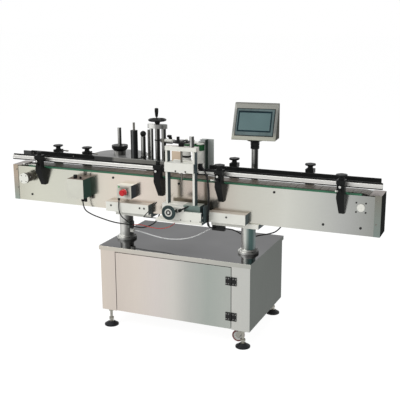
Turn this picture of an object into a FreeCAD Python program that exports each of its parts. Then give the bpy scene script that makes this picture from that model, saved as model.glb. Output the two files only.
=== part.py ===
"""Tabletop-height labelling line for round bottles: cabinet, slat conveyor,
guide rails, wrap station, label head and operator panel.

Millimetres. X runs along the conveyor, Z is up, and the operator stands on the -Y side.
Shapes are drawn with y = 0 on the conveyor's centre line; save() moves them to the
part's own frame, whose origin is on the floor under the middle of the whole machine.
"""
import FreeCAD
import Part
import math
import os

Vector = FreeCAD.Vector

# Frame
conveyor_y = -88.0

# Fits and gaps
running_fit = 0.05
slide_gap = 0.3
sheet = 2.0

# Cabinet
cabinet_length = 830.0
cabinet_depth = 524.0
cabinet_x = 9.0
cabinet_y = 83.0
cabinet_top_z = 438.0
cabinet_lip = 21.5
cabinet_overhang = 5.5
cabinet_bottom_z = 89.0
left_stile = 84.0
right_stile = 95.0
door_top_rail = 24.0
door_gap = 3.0
door_depth = 16.0
hinge_leaf = 23.5
hinge_height = 42.0
hinge_thickness = 4.0
hinge_pin_radius = 2.0
hinge_heights = (157.0, 340.0)

# Feet and casters
foot_inset_x = 41.0
foot_inset_y = 20.0
foot_pad_radius = 37.0
foot_pad_height = 22.0
foot_stem_radius = 7.0
foot_nut_width = 24.0
foot_nut_height = 10.0
foot_end_height = 14.0
caster_from_foot = 35.0
caster_shift_x = 14.0
caster_trail = 22.0
caster_radius = 30.0
caster_half_width = 11.0
caster_floor_gap = 12.0
caster_axle_radius = 4.0
caster_pin_radius = 5.0

# Columns
column_radius = 36.0
column_wall = 3.0
column_left_x = -337.0
column_right_x = 347.0
flange_radius = 52.0
flange_height = 22.0
saddle_plate = 22.0
saddle_front = 100.0
saddle_height = 51.0

# Conveyor
conveyor_length = 2000.0
half_length = conveyor_length / 2
conveyor_half_width = 56.0
conveyor_bottom = 604.0
panel_height = 188.0
panel_flange = 18.0
cap_flange = 30.0
cap_top_length = 55.0
cap_top_z = conveyor_bottom + 194.0
idler_x = -half_length + 102.0
drive_x = half_length - 92.0
shaft_z = conveyor_bottom + 132.0
shaft_radius = 10.0
strip_height = 6.5
strip_overhang = 1.5
strip_depth = 23.5
slat_thickness = 3.5
slat_half_width = 41.25
sprocket_half_width = 20.0
sprocket_teeth = 12
bearing_size = 60.0
bearing_depth = 12.0
bearing_cap_radius = 18.5
bearing_screw_offset = 22.0
screw_head_radius = 4.0
screw_head_height = 2.5
tie_radius = 8.0
tie_screw_radius = 4.0
tie_screw_depth = 15.0
upper_tie_x = (-378.0, -4.0, half_length - 506.0)
lower_tie_x = (-half_length + 114.0, half_length - 265.0, half_length - 90.0)
upper_tie_z = conveyor_bottom + 168.0
lower_tie_z = conveyor_bottom + 35.0
encoder_radius = 29.0
encoder_length = 52.0
encoder_neck_radius = 18.0
gearbox_length = 80.0
gearbox_width = 72.0
gearbox_height = 88.0
motor_radius = 34.0
motor_length = 168.0

# Guide rails
rail_face = 44.0
rail_insert = 6.0
rail_insert_height = 28.0
rail_body = 10.0
rail_body_height = 23.0
rail_z = conveyor_bottom + 235.0
rail_out = 10.0
front_left_rail = (-half_length + 15.0, -80.0)
front_right_rail = (105.0, half_length)
rear_left_rail = (-half_length, -90.0)
rear_right_rail = (120.0, half_length)
front_left_brackets = (-half_length + 198.0, -100.0)
front_right_brackets = (228.0, half_length - 178.0)
rear_left_brackets = (-half_length + 197.0, -half_length + 381.0)
rear_right_brackets = (236.0, half_length - 373.0)
bracket_bottom = conveyor_bottom + 99.0
bracket_head_top = conveyor_bottom + 264.0
bracket_head_height = 20.0
bracket_head_half = 20.0
bracket_post_y = 92.0
bracket_post_half = 14.0
bracket_waist = conveyor_bottom + 198.0
bracket_knee = conveyor_bottom + 176.0
bracket_foot_half = 13.0
bracket_knee_half = 19.0
bracket_post_width = 18.0
lever_height = conveyor_bottom + 214.0
rail_rod_radius = 6.0
rail_rod_end = 125.0
knob_cap_radius = 26.5
knob_cap_height = 10.0
knob_neck_radius = 13.0
knob_neck_height = 15.0
knob_stem_radius = 5.0
infeed_plate = (-half_length + 25.0, -half_length + 435.0)
infeed_plate_bottom = conveyor_bottom + 231.0
infeed_plate_height = 27.0

# Control box and stop box
box_x = (-613.0, -515.0)
box_depth = 75.0
box_z = (conveyor_bottom + 57.0, conveyor_bottom + 159.0)
box_knob_radius = 10.0
box_knob_height = 18.0
box_knob_shaft = 3.0
box_knob_x = -575.0
box_switch_x = -543.0
box_knob_y = -106.0
gland_radius = 8.0
gland_length = 21.0
box_gland_x = -542.0
box_gland_y = -95.0
stop_x = (-330.0, -247.0)
stop_depth = 52.0
stop_z = (conveyor_bottom + 77.0, conveyor_bottom + 145.0)
stop_button_x = -282.0
stop_button_z = conveyor_bottom + 113.0
stop_button_radius = 16.0
stop_button_height = 26.0
stop_travel = 8.0
stop_stem_radius = 8.0
stop_gland_x = -322.0
stop_gland_y = -101.0
stop_gland_length = 13.0

# Operator panel
pole_x = 341.0
pole_y = 100.0
pole_radius = 14.0
pole_bottom = conveyor_bottom + 96.0
pole_top = conveyor_bottom + 341.0
spigot_radius = 10.0
spigot_height = 30.0
swivel_radius = 22.0
swivel_height = 41.7
swivel_flange_radius = 35.0
swivel_flange_height = 7.0
panel_box_width = 220.6
panel_box_height = 172.9
panel_box_base = 100.0
panel_box_offset = 6.2
panel_box_crown = 19.3
panel_box_yaw = 5.9
bezel_width = 190.6
bezel_height = 138.0
bezel_depth = 3.0

# Wrap station in front of the conveyor
base_x = (-80.0, 170.0)
base_front = 175.0
base_bottom = conveyor_bottom - 1.0
base_thickness = 12.0
base_rail_height = 17.0
front_plate_x = (-20.0, 165.0)
front_plate_y = 172.0
front_plate_thickness = 12.0
front_plate_top = conveyor_bottom + 58.0
ear_right = 75.0
ear_top = conveyor_bottom + 80.0
carriage_x = (-52.0, 150.0)
carriage_front = 150.0
carriage_back = 90.0
carriage_top = conveyor_bottom + 86.0
upright_x = (-34.0, 110.0)
upright_width = 11.0
upright_y = (-145.0, -110.0)
portal_bottom = conveyor_bottom + 352.0
portal_plate = 20.0
portal_x = (-34.0, 131.0)
portal_y = (-150.0, -112.0)
post_x = 101.0
post_radius = 11.0
post_height = 51.0
lift_x = 45.0
lift_y = -128.0
lift_screw_radius = 5.0
lift_screw_bottom = conveyor_bottom + 202.0
lift_hub_radius = 14.0
lift_wheel_z = conveyor_bottom + 394.0
lift_wheel_radius = 36.0
wheel_rim = 4.5
lift_handle_top = conveyor_bottom + 424.0
block_z = (conveyor_bottom + 247.0, conveyor_bottom + 293.0)
block_face = 12.0
block_back = -112.0
pad_x = (-30.0, 98.0)
pad_z = (conveyor_bottom + 234.0, conveyor_bottom + 288.0)
pad_backing = 8.0
pad_sponge = 12.0
pad_face = 46.0
feed_x = 8.0
feed_z = conveyor_bottom + 56.0
feed_screw_radius = 6.0
feed_wheel_y = 205.0
feed_wheel_radius = 32.0
sensor_x = (124.0, 142.0)
sensor_y = (-112.0, -94.0)
sensor_z = (conveyor_bottom + 262.0, conveyor_bottom + 288.0)
sensor_arm_z = (conveyor_bottom + 252.0, conveyor_bottom + 262.0)
lever_x = 57.0
lever_z = conveyor_bottom + 65.0
lever_shaft_radius = 4.0
side_slab_x = 166.0
side_slab = 6.0

# Wrap belt unit behind the conveyor
roller_left_x = -16.0
roller_right_x = 62.0
roller_y = 70.0
belt_roller_radius = 21.7
belt_thickness = 2.5
belt_z = (conveyor_bottom + 321.0, conveyor_bottom + 351.0)
roller_shaft_radius = 6.0
housing_x = (-48.0, 88.0)
housing_y = (50.0, 128.0)
housing_z = (conveyor_bottom + 208.0, conveyor_bottom + 253.0)
belt_top_plate = 6.0
guard_depth = (60.0, 100.0)
guard_right = 122.0
guard_z = (conveyor_bottom + 196.0, conveyor_bottom + 375.0)
belt_motor_radius = 25.5
belt_motor_y = 100.0
belt_motor_bottom = conveyor_bottom + 96.0

# Label head
head_z = conveyor_bottom + 214.0
head_plate = 10.0
head_front = 85.0
mast_x = -219.0
mast_y = 150.0
mast_rod_offset = 36.0
mast_left_radius = 9.5
mast_right_radius = 12.0
mast_bottom = conveyor_bottom + 104.0
mast_top = conveyor_bottom + 405.0
mast_block = 21.0
mast_foot = 18.0
mast_screw_radius = 13.5
mast_neck_radius = 6.0
mast_clamp_z = conveyor_bottom + 334.0
mast_clamp_height = 18.0
mast_clamp_radius = 18.0
mast_clamp_reach = 62.0
mast_collar_radius = 16.0
mast_collar_height = 6.0
mast_wheel_z = conveyor_bottom + 449.0
mast_wheel_radius = 42.5
mast_handle_top = conveyor_bottom + 510.0
head_block_height = 40.0
unwind_x = -495.0
unwind_y = 235.0
unwind_radius = 155.0
unwind_disc = 4.0
unwind_hub_radius = 32.0
unwind_hub_height = 23.0
unwind_cone_radius = 44.5
unwind_cone_height = 30.0
unwind_spindle_radius = 10.5
unwind_top = conveyor_bottom + 381.0
rubber_x = -347.5
rubber_y = 128.5
rubber_radius = 19.1
rubber_top = conveyor_bottom + 390.0
rubber_shaft_top = conveyor_bottom + 432.0
steel_x = -294.0
steel_y = 130.0
steel_radius = 10.7
steel_top = conveyor_bottom + 368.0
guide_x = -295.0
guide_y = 200.0
guide_radius = 8.5
guide_top = conveyor_bottom + 386.0
roller_axle_radius = 6.0
peel_x = (-106.0, -53.0)
peel_z = (conveyor_bottom + 214.0, conveyor_bottom + 303.0)
peel_thickness = 5.0
label_motor_width = 57.0
label_motor_x = -131.0
label_motor_y = 129.0
label_motor_height = 73.0

# Electrical plate in the cabinet
plate_height = 230.0
plate_width = 560.0
plate_thickness = 3.0

# Free cables: points on the routes, chosen by eye along the hanging runs
box_cable_diameter = 6.5
box_cable_route = [
    (-542, -95, 640), (-541, -95, 599), (-500, -92, 574), (-440, -78, 552), (-372, -59, 531),
    (-303, -44, 526), (-234, -48, 514), (-176, -58, 532), (-130, -54, 562), (-118, -47, 604),
]
stop_cable_diameter = 5.5
stop_cable_route = [
    (-322, -101, 668), (-322, -108, 644), (-319, -109, 604), (-311, -88, 570), (-301, -40.4, 535),
]
red_wire_diameter = 4.0
red_wire_route = [
    (-284, -30, 521), (-246, -42, 532), (-200, -58, 534), (-150, -70, 531),
    (-98, -78, 533), (-50, -80, 547), (-14, -82, 572), (-3, -80, 603),
]
air_tube_diameter = 6.0
air_tube_route = [
    (-286, -12, 488), (-248, -20, 487), (-200, -34, 484), (-142, -48, 479), (-72, -58, 476),
    (0, -62, 483), (68, -60, 500), (125, -54, 530), (172, -42, 560),
]
belt_cable_diameter = 7.0
belt_cable_route = [
    (142, -103, 879), (161, -113, 861), (178, -122, 828), (185, -125, 780), (187, -126, 728),
    (184, -125, 676), (178, -121, 628), (174, -108, 590), (178, -80, 566), (190, -50, 562),
]
link_cable_diameter = 6.5
link_cable_route = [
    (238, -40, 560), (266, -33, 559), (290, -4, 541), (304, 36, 512), (342, 57, 500),
    (392, 54, 518), (440, 44, 532), (488, 43, 553), (520, 45, 604),
]
bend_share = 0.45

# Cable fittings
clip_x = (-312.0, -284.0)
clip_y = (-40.4, -14.0)
flange_top = cabinet_top_z + flange_height
column_room = conveyor_bottom - saddle_plate - flange_top
clip_z = (flange_top + 0.37 * column_room, flange_top + 0.66 * column_room)
elbow_z = (flange_top + 0.15 * column_room, flange_top + 0.31 * column_room)
joint_box_x = (172.0, 238.0)
joint_box_y = (-50.0, -30.0)
joint_box_z = (conveyor_bottom - 56.0, conveyor_bottom - 28.0)

# Derived places
panel_inner = conveyor_half_width - sheet
conveyor_top = conveyor_bottom + panel_height
chain_inner = conveyor_top + strip_height - shaft_z
chain_outer = chain_inner + slat_thickness
body_x0 = cabinet_x - cabinet_length / 2 + cabinet_overhang
body_x1 = cabinet_x + cabinet_length / 2 - cabinet_overhang
body_y0 = cabinet_y - cabinet_depth / 2 + cabinet_overhang
body_y1 = cabinet_y + cabinet_depth / 2 - cabinet_overhang
door_x0 = body_x0 + left_stile
door_x1 = body_x1 - right_stile
body_top_z = cabinet_top_z - sheet
door_top_z = body_top_z - door_top_rail
bracket_bore = rail_rod_radius + running_fit
unwind_disc_z = head_z + head_plate + 3.0
head_top = head_z + head_plate


def box(x0, x1, y0, y1, z0, z1):
    """Box between two corners."""
    return Part.makeBox(x1 - x0, y1 - y0, z1 - z0, Vector(x0, y0, z0))


def rod_x(radius, y, z, x0, x1):
    """Round bar along X."""
    return Part.makeCylinder(radius, x1 - x0, Vector(x0, y, z), Vector(1, 0, 0))


def rod_y(radius, x, z, y0, y1):
    """Round bar along Y."""
    return Part.makeCylinder(radius, y1 - y0, Vector(x, y0, z), Vector(0, 1, 0))


def rod_z(radius, x, y, z0, z1):
    """Round bar along Z."""
    return Part.makeCylinder(radius, z1 - z0, Vector(x, y, z0))


def cone_z(low_radius, high_radius, x, y, z0, z1):
    """Cone along Z."""
    return Part.makeCone(low_radius, high_radius, z1 - z0, Vector(x, y, z0))


def ring(radius, tube, x, y, z, axis):
    """Torus around an axis."""
    return Part.makeTorus(radius, tube, Vector(x, y, z), axis)


def hexagon(width, x, y, z0, z1):
    """Hexagonal prism across its flats."""
    corner = width / math.sqrt(3)
    points = []
    for step in range(7):
        angle = math.radians(60 * step)
        points.append(Vector(x + corner * math.cos(angle), y + corner * math.sin(angle), z0))
    return Part.Face(Part.makePolygon(points)).extrude(Vector(0, 0, z1 - z0))


def prism_xz(points, y0, y1):
    """Prism along Y over an outline of (x, z) points."""
    corners = [Vector(x, y0, z) for x, z in points]
    return Part.Face(Part.makePolygon(corners + corners[:1])).extrude(Vector(0, y1 - y0, 0))


def prism_yz(points, x0, x1):
    """Prism along X over an outline of (y, z) points."""
    corners = [Vector(x0, y, z) for y, z in points]
    return Part.Face(Part.makePolygon(corners + corners[:1])).extrude(Vector(x1 - x0, 0, 0))


def prism_xy(points, z0, z1):
    """Prism along Z over an outline of (x, y) points."""
    corners = [Vector(x, y, z0) for x, y in points]
    return Part.Face(Part.makePolygon(corners + corners[:1])).extrude(Vector(0, 0, z1 - z0))


def cut(shape, tools):
    """Cut a list of tools from a shape."""
    for tool in tools:
        shape = shape.cut(tool)
    return shape


def fuse(shapes):
    """One solid from shapes that overlap or touch."""
    joined = shapes[0]
    for shape in shapes[1:]:
        joined = joined.fuse(shape)
    return joined.removeSplitter()


def turned(shape, x, y, degrees):
    """Shape turned about a vertical line."""
    copy = shape.copy()
    copy.rotate(Vector(x, y, 0), Vector(0, 0, 1), degrees)
    return copy


def other_side(shape):
    """Mirror image across the conveyor's centre line."""
    return shape.mirror(Vector(0, 0, 0), Vector(0, 1, 0))


def save(node, shapes):
    """Write one node, moved into the part's own frame."""
    solids = []
    for shape in shapes:
        solids.extend(shape.Solids)
    whole = solids[0] if len(solids) == 1 else Part.makeCompound(solids)
    placed = whole.copy()
    placed.translate(Vector(0, conveyor_y, 0))
    if not placed.isValid():
        raise RuntimeError("bad solid in " + node)
    placed.exportStep("parts/" + node + ".step")


def cabinet():
    """Folded body, lidded top plate and the door between two stiles."""
    body = box(body_x0, body_x1, body_y0, body_y1, cabinet_bottom_z, body_top_z)
    inside = box(
        body_x0 + sheet, body_x1 - sheet, body_y0 + sheet, body_y1 - sheet,
        cabinet_bottom_z + sheet, body_top_z)
    doorway = box(door_x0, door_x1, body_y0, body_y0 + door_depth + slide_gap, cabinet_bottom_z, door_top_z)
    body = body.cut(inside)
    returns = [
        box(door_x0 - sheet, door_x0, body_y0, body_y0 + 25, cabinet_bottom_z, body_top_z),
        box(door_x1, door_x1 + sheet, body_y0, body_y0 + 25, cabinet_bottom_z, body_top_z),
    ]
    body = fuse([body] + returns)
    holes = [rod_z(foot_stem_radius, x, y, cabinet_bottom_z, cabinet_bottom_z + sheet) for x, y in foot_places()]
    holes += [
        rod_z(caster_pin_radius + running_fit, x, y, cabinet_bottom_z, cabinet_bottom_z + sheet)
        for x, y in caster_places()]
    save("cabinet_shell", [cut(body, [doorway] + holes)])

    x0 = cabinet_x - cabinet_length / 2
    x1 = cabinet_x + cabinet_length / 2
    y0 = cabinet_y - cabinet_depth / 2
    y1 = cabinet_y + cabinet_depth / 2
    lid = box(x0, x1, y0, y1, cabinet_top_z - cabinet_lip, cabinet_top_z)
    under = box(x0 + sheet, x1 - sheet, y0 + sheet, y1 - sheet, cabinet_top_z - cabinet_lip, body_top_z)
    save("cabinet_top", [lid.cut(under)])


def hinge_axis():
    """Hinge pin's place, in front of the gap beside the door."""
    return door_x1 - door_gap / 2, body_y0 - hinge_thickness - 0.5


def hinge_leaf_shape(x, y, z, side, knuckles):
    """Leaf on the front face with its knuckles round the pin."""
    half = hinge_height / 2
    barrel = hinge_thickness
    near = 5.0
    leaf = box(
        min(x + side * near, x + side * (near + hinge_leaf)),
        max(x + side * near, x + side * (near + hinge_leaf)),
        body_y0 - hinge_thickness, body_y0, z - half, z + half)
    parts = [leaf]
    for low, high in knuckles:
        parts.append(rod_z(barrel, x, y, z + low, z + high))
        parts.append(box(
            min(x, x + side * near), max(x, x + side * near),
            body_y0 - hinge_thickness, body_y0 - 0.5, z + low, z + high))
    return fuse(parts)


def door():
    """Door pan with its hinge leaves, and the leaves and pins on the stile."""
    x0 = door_x0 + door_gap
    x1 = door_x1 - door_gap
    z0 = cabinet_bottom_z + door_gap
    z1 = door_top_z - door_gap
    pan = box(x0, x1, body_y0, body_y0 + door_depth, z0, z1)
    hollow = box(x0 + sheet, x1 - sheet, body_y0 + sheet, body_y0 + door_depth, z0 + sheet, z1 - sheet)
    x, y = hinge_axis()
    half = hinge_height / 2
    third = hinge_height / 5
    door_parts = [pan.cut(hollow)]
    frame_parts = []
    for z in hinge_heights:
        leaf = hinge_leaf_shape(x, y, z, -1, [(-third + slide_gap, third - slide_gap)])
        bore = rod_z(hinge_pin_radius + running_fit, x, y, z - half, z + half)
        door_parts.append(leaf.cut(bore))
        frame = hinge_leaf_shape(x, y, z, 1, [(-half, -third), (third, half)])
        frame_parts.append(frame.cut(rod_z(hinge_pin_radius, x, y, z - half, z + half)))
        frame_parts.append(rod_z(hinge_pin_radius, x, y, z - half, z + half))
    save("cabinet_door", door_parts)
    save("door_hinges", frame_parts)


def foot_places():
    """Four places of the levelling feet."""
    places = []
    for x in (body_x0 + foot_inset_x, body_x1 - foot_inset_x):
        for y in (body_y0 + foot_inset_y, body_y1 - foot_inset_y):
            places.append((x, y))
    return places


def feet():
    """Pads with threaded stems, lock nuts and a hexagon to turn them by."""
    solids = []
    for x, y in foot_places():
        rim = rod_z(foot_pad_radius, x, y, 0, 6)
        dome = cone_z(foot_pad_radius - 3, foot_stem_radius * 2, x, y, 6, foot_pad_height)
        solids.append(fuse([rim, dome]))
        stem = rod_z(foot_stem_radius, x, y, foot_pad_height, cabinet_bottom_z + sheet + foot_end_height)
        solids.append(stem)
        bore = rod_z(foot_stem_radius, x, y, 0, cabinet_top_z)
        heights = (
            foot_pad_height + foot_nut_height,
            cabinet_bottom_z - foot_nut_height,
            cabinet_bottom_z + sheet,
        )
        for z in heights:
            solids.append(hexagon(foot_nut_width, x, y, z, z + foot_nut_height).cut(bore))
    save("levelling_feet", solids)


def caster_places():
    """Swivel pins of the two casters beside the right-hand feet."""
    x = body_x1 - foot_inset_x - caster_shift_x
    front = body_y0 + foot_inset_y + caster_from_foot
    rear = body_y1 - foot_inset_y - caster_from_foot
    return [(x, front), (x, rear)]


def casters():
    """Swivel forks with their axles, and the wheels."""
    for name, (x, y) in zip(("front", "rear"), caster_places()):
        axle_x = x - caster_trail
        axle_z = caster_floor_gap + caster_radius
        crown_z = axle_z + caster_radius + 2
        crown = rod_z(18, x, y, crown_z, crown_z + 6)
        pin = rod_z(caster_pin_radius, x, y, crown_z + 6, cabinet_bottom_z + sheet + 4)
        race = rod_z(13, x, y, crown_z + 6, cabinet_bottom_z - slide_gap)
        legs = []
        for side in (-1, 1):
            near = side * (caster_half_width + 1.5)
            far = side * (caster_half_width + 4.5)
            outline = [
                (x - 14, crown_z + 3), (x + 12, crown_z + 3), (axle_x + 8, axle_z - 6),
                (axle_x - 8, axle_z - 6), (axle_x - 8, axle_z + 6)]
            legs.append(prism_xz(outline, y + min(near, far), y + max(near, far)))
        axle = rod_y(caster_axle_radius, axle_x, axle_z, y - caster_half_width - 7, y + caster_half_width + 7)
        save("caster_fork_" + name, [fuse([crown, race, pin] + legs), cut_axle(axle, legs)])
        tyre = rod_y(caster_radius, axle_x, axle_z, y - caster_half_width, y + caster_half_width)
        bore = rod_y(
            caster_axle_radius + running_fit, axle_x, axle_z,
            y - caster_half_width, y + caster_half_width)
        dish = []
        for side in (-1, 1):
            edge = side * caster_half_width
            inner = side * (caster_half_width - 3)
            hollow = rod_y(caster_radius * 0.74, axle_x, axle_z, y + min(edge, inner), y + max(edge, inner))
            hub = rod_y(9, axle_x, axle_z, y + min(edge, inner), y + max(edge, inner))
            dish.append(hollow.cut(hub))
        save("caster_wheel_" + name, [cut(tyre, [bore] + dish)])


def cut_axle(axle, legs):
    """Axle without the stretches that lie in the legs."""
    pieces = cut(axle, legs).Solids
    return max(pieces, key=lambda piece: piece.Volume)


def columns():
    """Two tubes with floor flanges, and the saddles that carry the conveyor."""
    solids = []
    plate_bottom = conveyor_bottom - saddle_plate
    for x in (column_left_x, column_right_x):
        tube = rod_z(column_radius, x, 0, cabinet_top_z, plate_bottom)
        solids.append(tube.cut(rod_z(column_radius - column_wall, x, 0, cabinet_top_z, plate_bottom)))
        low = rod_z(flange_radius, x, 0, cabinet_top_z, cabinet_top_z + flange_height * 0.6)
        top = cone_z(
            flange_radius, column_radius + 4, x, 0,
            cabinet_top_z + flange_height * 0.6, cabinet_top_z + flange_height)
        solids.append(fuse([low, top]).cut(rod_z(column_radius, x, 0, cabinet_top_z, plate_bottom)))
    spans = (
        (column_left_x - 64, column_left_x + 181, column_left_x - 24, column_left_x + 181),
        (column_right_x - 171, column_right_x + 18, column_right_x - 171, column_right_x + 75),
    )
    for block_x0, block_x1, plate_x0, plate_x1 in spans:
        solids.append(box(plate_x0, plate_x1, -70, 58, plate_bottom, conveyor_bottom))
        solids.append(box(
            block_x0, block_x1, -saddle_front, -conveyor_half_width,
            conveyor_bottom, conveyor_bottom + saddle_height))
    save("support_columns", solids)


def tie_places():
    """Cross bars: x and z of each."""
    upper = [(x, upper_tie_z) for x in upper_tie_x]
    lower = [(x, lower_tie_z) for x in lower_tie_x]
    return upper + lower


def conveyor():
    """Side panels, cross bars, end caps and wear strips."""
    web = box(-half_length + sheet, half_length - sheet, -conveyor_half_width, -panel_inner, conveyor_bottom, conveyor_top)
    low = box(
        -half_length + sheet, half_length - sheet, -panel_inner, -panel_inner + panel_flange,
        conveyor_bottom, conveyor_bottom + sheet)
    high = box(idler_x, drive_x, -panel_inner, -panel_inner + panel_flange, conveyor_top - sheet, conveyor_top)
    front = fuse([web, low, high])
    holes = [rod_y(shaft_radius + 0.5, x, shaft_z, -60, -50) for x in (idler_x, drive_x)]
    holes += [rod_y(tie_screw_radius, x, z, -60, -50) for x, z in tie_places()]
    front = cut(front, holes)
    save("side_panels", [front, other_side(front)])

    bars = []
    for x, z in tie_places():
        bar = rod_y(tie_radius, x, z, -panel_inner, panel_inner)
        for side in (-1, 1):
            outer = side * (conveyor_half_width + screw_head_height)
            face = side * conveyor_half_width
            inner = side * (panel_inner - tie_screw_depth)
            shank = rod_y(tie_screw_radius, x, z, min(face, inner), max(face, inner))
            head = rod_y(screw_head_radius + 2, x, z, min(face, outer), max(face, outer))
            bar = bar.cut(shank)
            bars.append(fuse([shank, head]))
        bars.append(bar)
    save("cross_bars", bars)

    caps = []
    for side in (-1, 1):
        outer = side * half_length
        inner = side * (half_length - sheet)
        flange = side * (half_length - cap_flange)
        lip = side * (half_length - cap_top_length)
        edge = conveyor_half_width + sheet
        parts = [
            box(min(outer, inner), max(outer, inner), -edge, edge, conveyor_bottom, cap_top_z),
            box(min(outer, lip), max(outer, lip), -edge, edge, cap_top_z - sheet, cap_top_z),
        ]
        for face in (-edge, conveyor_half_width):
            parts.append(box(min(outer, flange), max(outer, flange), face, face + sheet, conveyor_bottom, cap_top_z))
        caps.append(fuse(parts))
    save("end_caps", caps)

    strip = box(
        idler_x, drive_x, -conveyor_half_width - strip_overhang,
        -conveyor_half_width - strip_overhang + strip_depth, conveyor_top, conveyor_top + strip_height)
    save("wear_strips", [strip, other_side(strip)])


def loop_prism(radius, x0, x1, z, y0, y1):
    """Prism of a belt's outline round two wheels of one radius."""
    parts = [
        rod_y(radius, x0, z, y0, y1),
        rod_y(radius, x1, z, y0, y1),
        box(x0, x1, y0, y1, z - radius, z + radius),
    ]
    return fuse(parts)


def chain_and_shafts():
    """Slat chain round the drive and idler sprockets, with their shafts."""
    outer = loop_prism(chain_outer, idler_x, drive_x, shaft_z, -slat_half_width, slat_half_width)
    inner = loop_prism(chain_inner, idler_x, drive_x, shaft_z, -slat_half_width, slat_half_width)
    save("slat_chain", [outer.cut(inner)])

    sprocket_radius = chain_inner - slide_gap
    ends = (("drive_shaft", drive_x, -panel_inner, 110), ("idler_shaft", idler_x, -78, panel_inner))
    for name, x, y0, y1 in ends:
        shaft = rod_y(shaft_radius, x, shaft_z, y0, y1)
        wheel = rod_y(sprocket_radius, x, shaft_z, -sprocket_half_width, sprocket_half_width)
        notches = [shaft]
        for tooth in range(sprocket_teeth):
            angle = 2 * math.pi * (tooth + 0.5) / sprocket_teeth
            notches.append(rod_y(
                8, x + sprocket_radius * math.cos(angle), shaft_z + sprocket_radius * math.sin(angle),
                -sprocket_half_width, sprocket_half_width))
        save(name, [shaft, cut(wheel, notches)])


def bearings():
    """Shaft bearings in the panels, the round cap, its screws and the encoder."""
    solids = []
    half = bearing_size / 2
    for x in (idler_x, drive_x):
        for side in (-1, 1):
            near = side * panel_inner
            far = side * (panel_inner - bearing_depth)
            block = box(x - half, x + half, min(near, far), max(near, far), shaft_z - half, shaft_z + half)
            solids.append(block.cut(rod_y(shaft_radius + running_fit, x, shaft_z, -200, 200)))
    face = -conveyor_half_width
    solids.append(rod_y(bearing_cap_radius, drive_x, shaft_z, face - 4, face))
    for dx in (-bearing_screw_offset, bearing_screw_offset):
        for dz in (-bearing_screw_offset, bearing_screw_offset):
            solids.append(rod_y(screw_head_radius, drive_x + dx, shaft_z + dz, face - screw_head_height, face))
    disc = 14.0
    flange = 12.0
    body = fuse([
        rod_y(encoder_radius, idler_x, shaft_z, face - encoder_length, face - encoder_length + disc),
        rod_y(encoder_neck_radius, idler_x, shaft_z, face - encoder_length + disc, face - flange),
        rod_y(encoder_radius - 4, idler_x, shaft_z, face - flange, face),
    ])
    solids.append(body.cut(rod_y(shaft_radius + running_fit, idler_x, shaft_z, -80, face)))
    save("shaft_bearings", solids)

    top = shaft_z + gearbox_height / 2
    x0 = drive_x - gearbox_length / 2
    gearbox = box(
        x0, x0 + gearbox_length, conveyor_half_width, conveyor_half_width + gearbox_width,
        top - gearbox_height, top)
    gearbox = gearbox.cut(rod_y(shaft_radius + running_fit, drive_x, shaft_z, conveyor_half_width, 112))
    motor_y = conveyor_half_width + gearbox_width / 2
    motor = rod_x(motor_radius, motor_y, shaft_z, x0 - motor_length, x0)
    terminal = box(x0 - 100, x0 - 40, motor_y - 25, motor_y + 25, shaft_z - 58, shaft_z - motor_radius + 6)
    save("drive_gearmotor", [gearbox, motor, terminal.cut(motor)])


def bracket(x, lever):
    """Rail bracket on the front panel: tapered foot, post, head, stud and clamp lever."""
    reach = bracket_post_y + bracket_post_half + 2
    near = bracket_post_y - bracket_post_half
    profile = [
        (-conveyor_half_width, bracket_bottom), (-conveyor_half_width - 14, bracket_bottom),
        (-reach, bracket_knee), (-reach, bracket_head_top), (-near, bracket_head_top), (-near, bracket_waist),
        (-conveyor_half_width, conveyor_top - 2)]
    knee = bracket_knee + 6
    outline = [
        (x - bracket_foot_half, bracket_bottom), (x - bracket_knee_half, knee),
        (x - bracket_post_width, bracket_waist), (x - bracket_post_width, bracket_head_top),
        (x + bracket_post_width, bracket_head_top), (x + bracket_post_width, bracket_waist),
        (x + bracket_knee_half, knee), (x + bracket_foot_half, bracket_bottom)]
    foot = prism_yz(profile, x - 40, x + 40).common(prism_xz(outline, -reach - 10, 0))
    head = box(
        x - bracket_head_half, x + bracket_head_half,
        -bracket_post_y - bracket_head_half, -bracket_post_y + bracket_head_half,
        bracket_head_top - bracket_head_height, bracket_head_top)
    body = fuse([foot, head])
    body = cut(body, [
        rod_y(bracket_bore, x, rail_z, -160, 0),
        rod_z(knob_stem_radius + running_fit, x, -bracket_post_y, rail_z, bracket_head_top),
    ])
    solids = [body]
    if lever:
        hub = rod_y(7, x, lever_height, -reach - 12, -reach)
        arm = Part.makeCylinder(3, lever - 9, Vector(x, -reach - 8, lever_height), Vector(-1, 0, 0))
        tip = Part.makeSphere(4.5, Vector(x - lever + 5, -reach - 8, lever_height))
        solids.append(fuse([hub, arm, tip]))
    return solids


def bracket_groups():
    """Each rail with its side, its ends and its bracket places."""
    return [
        ("front_rail_left", 1, front_left_rail, front_left_brackets),
        ("front_rail_right", 1, front_right_rail, front_right_brackets),
        ("rear_rail_left", -1, rear_left_rail, rear_left_brackets),
        ("rear_rail_right", -1, rear_right_rail, rear_right_brackets),
    ]


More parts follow.
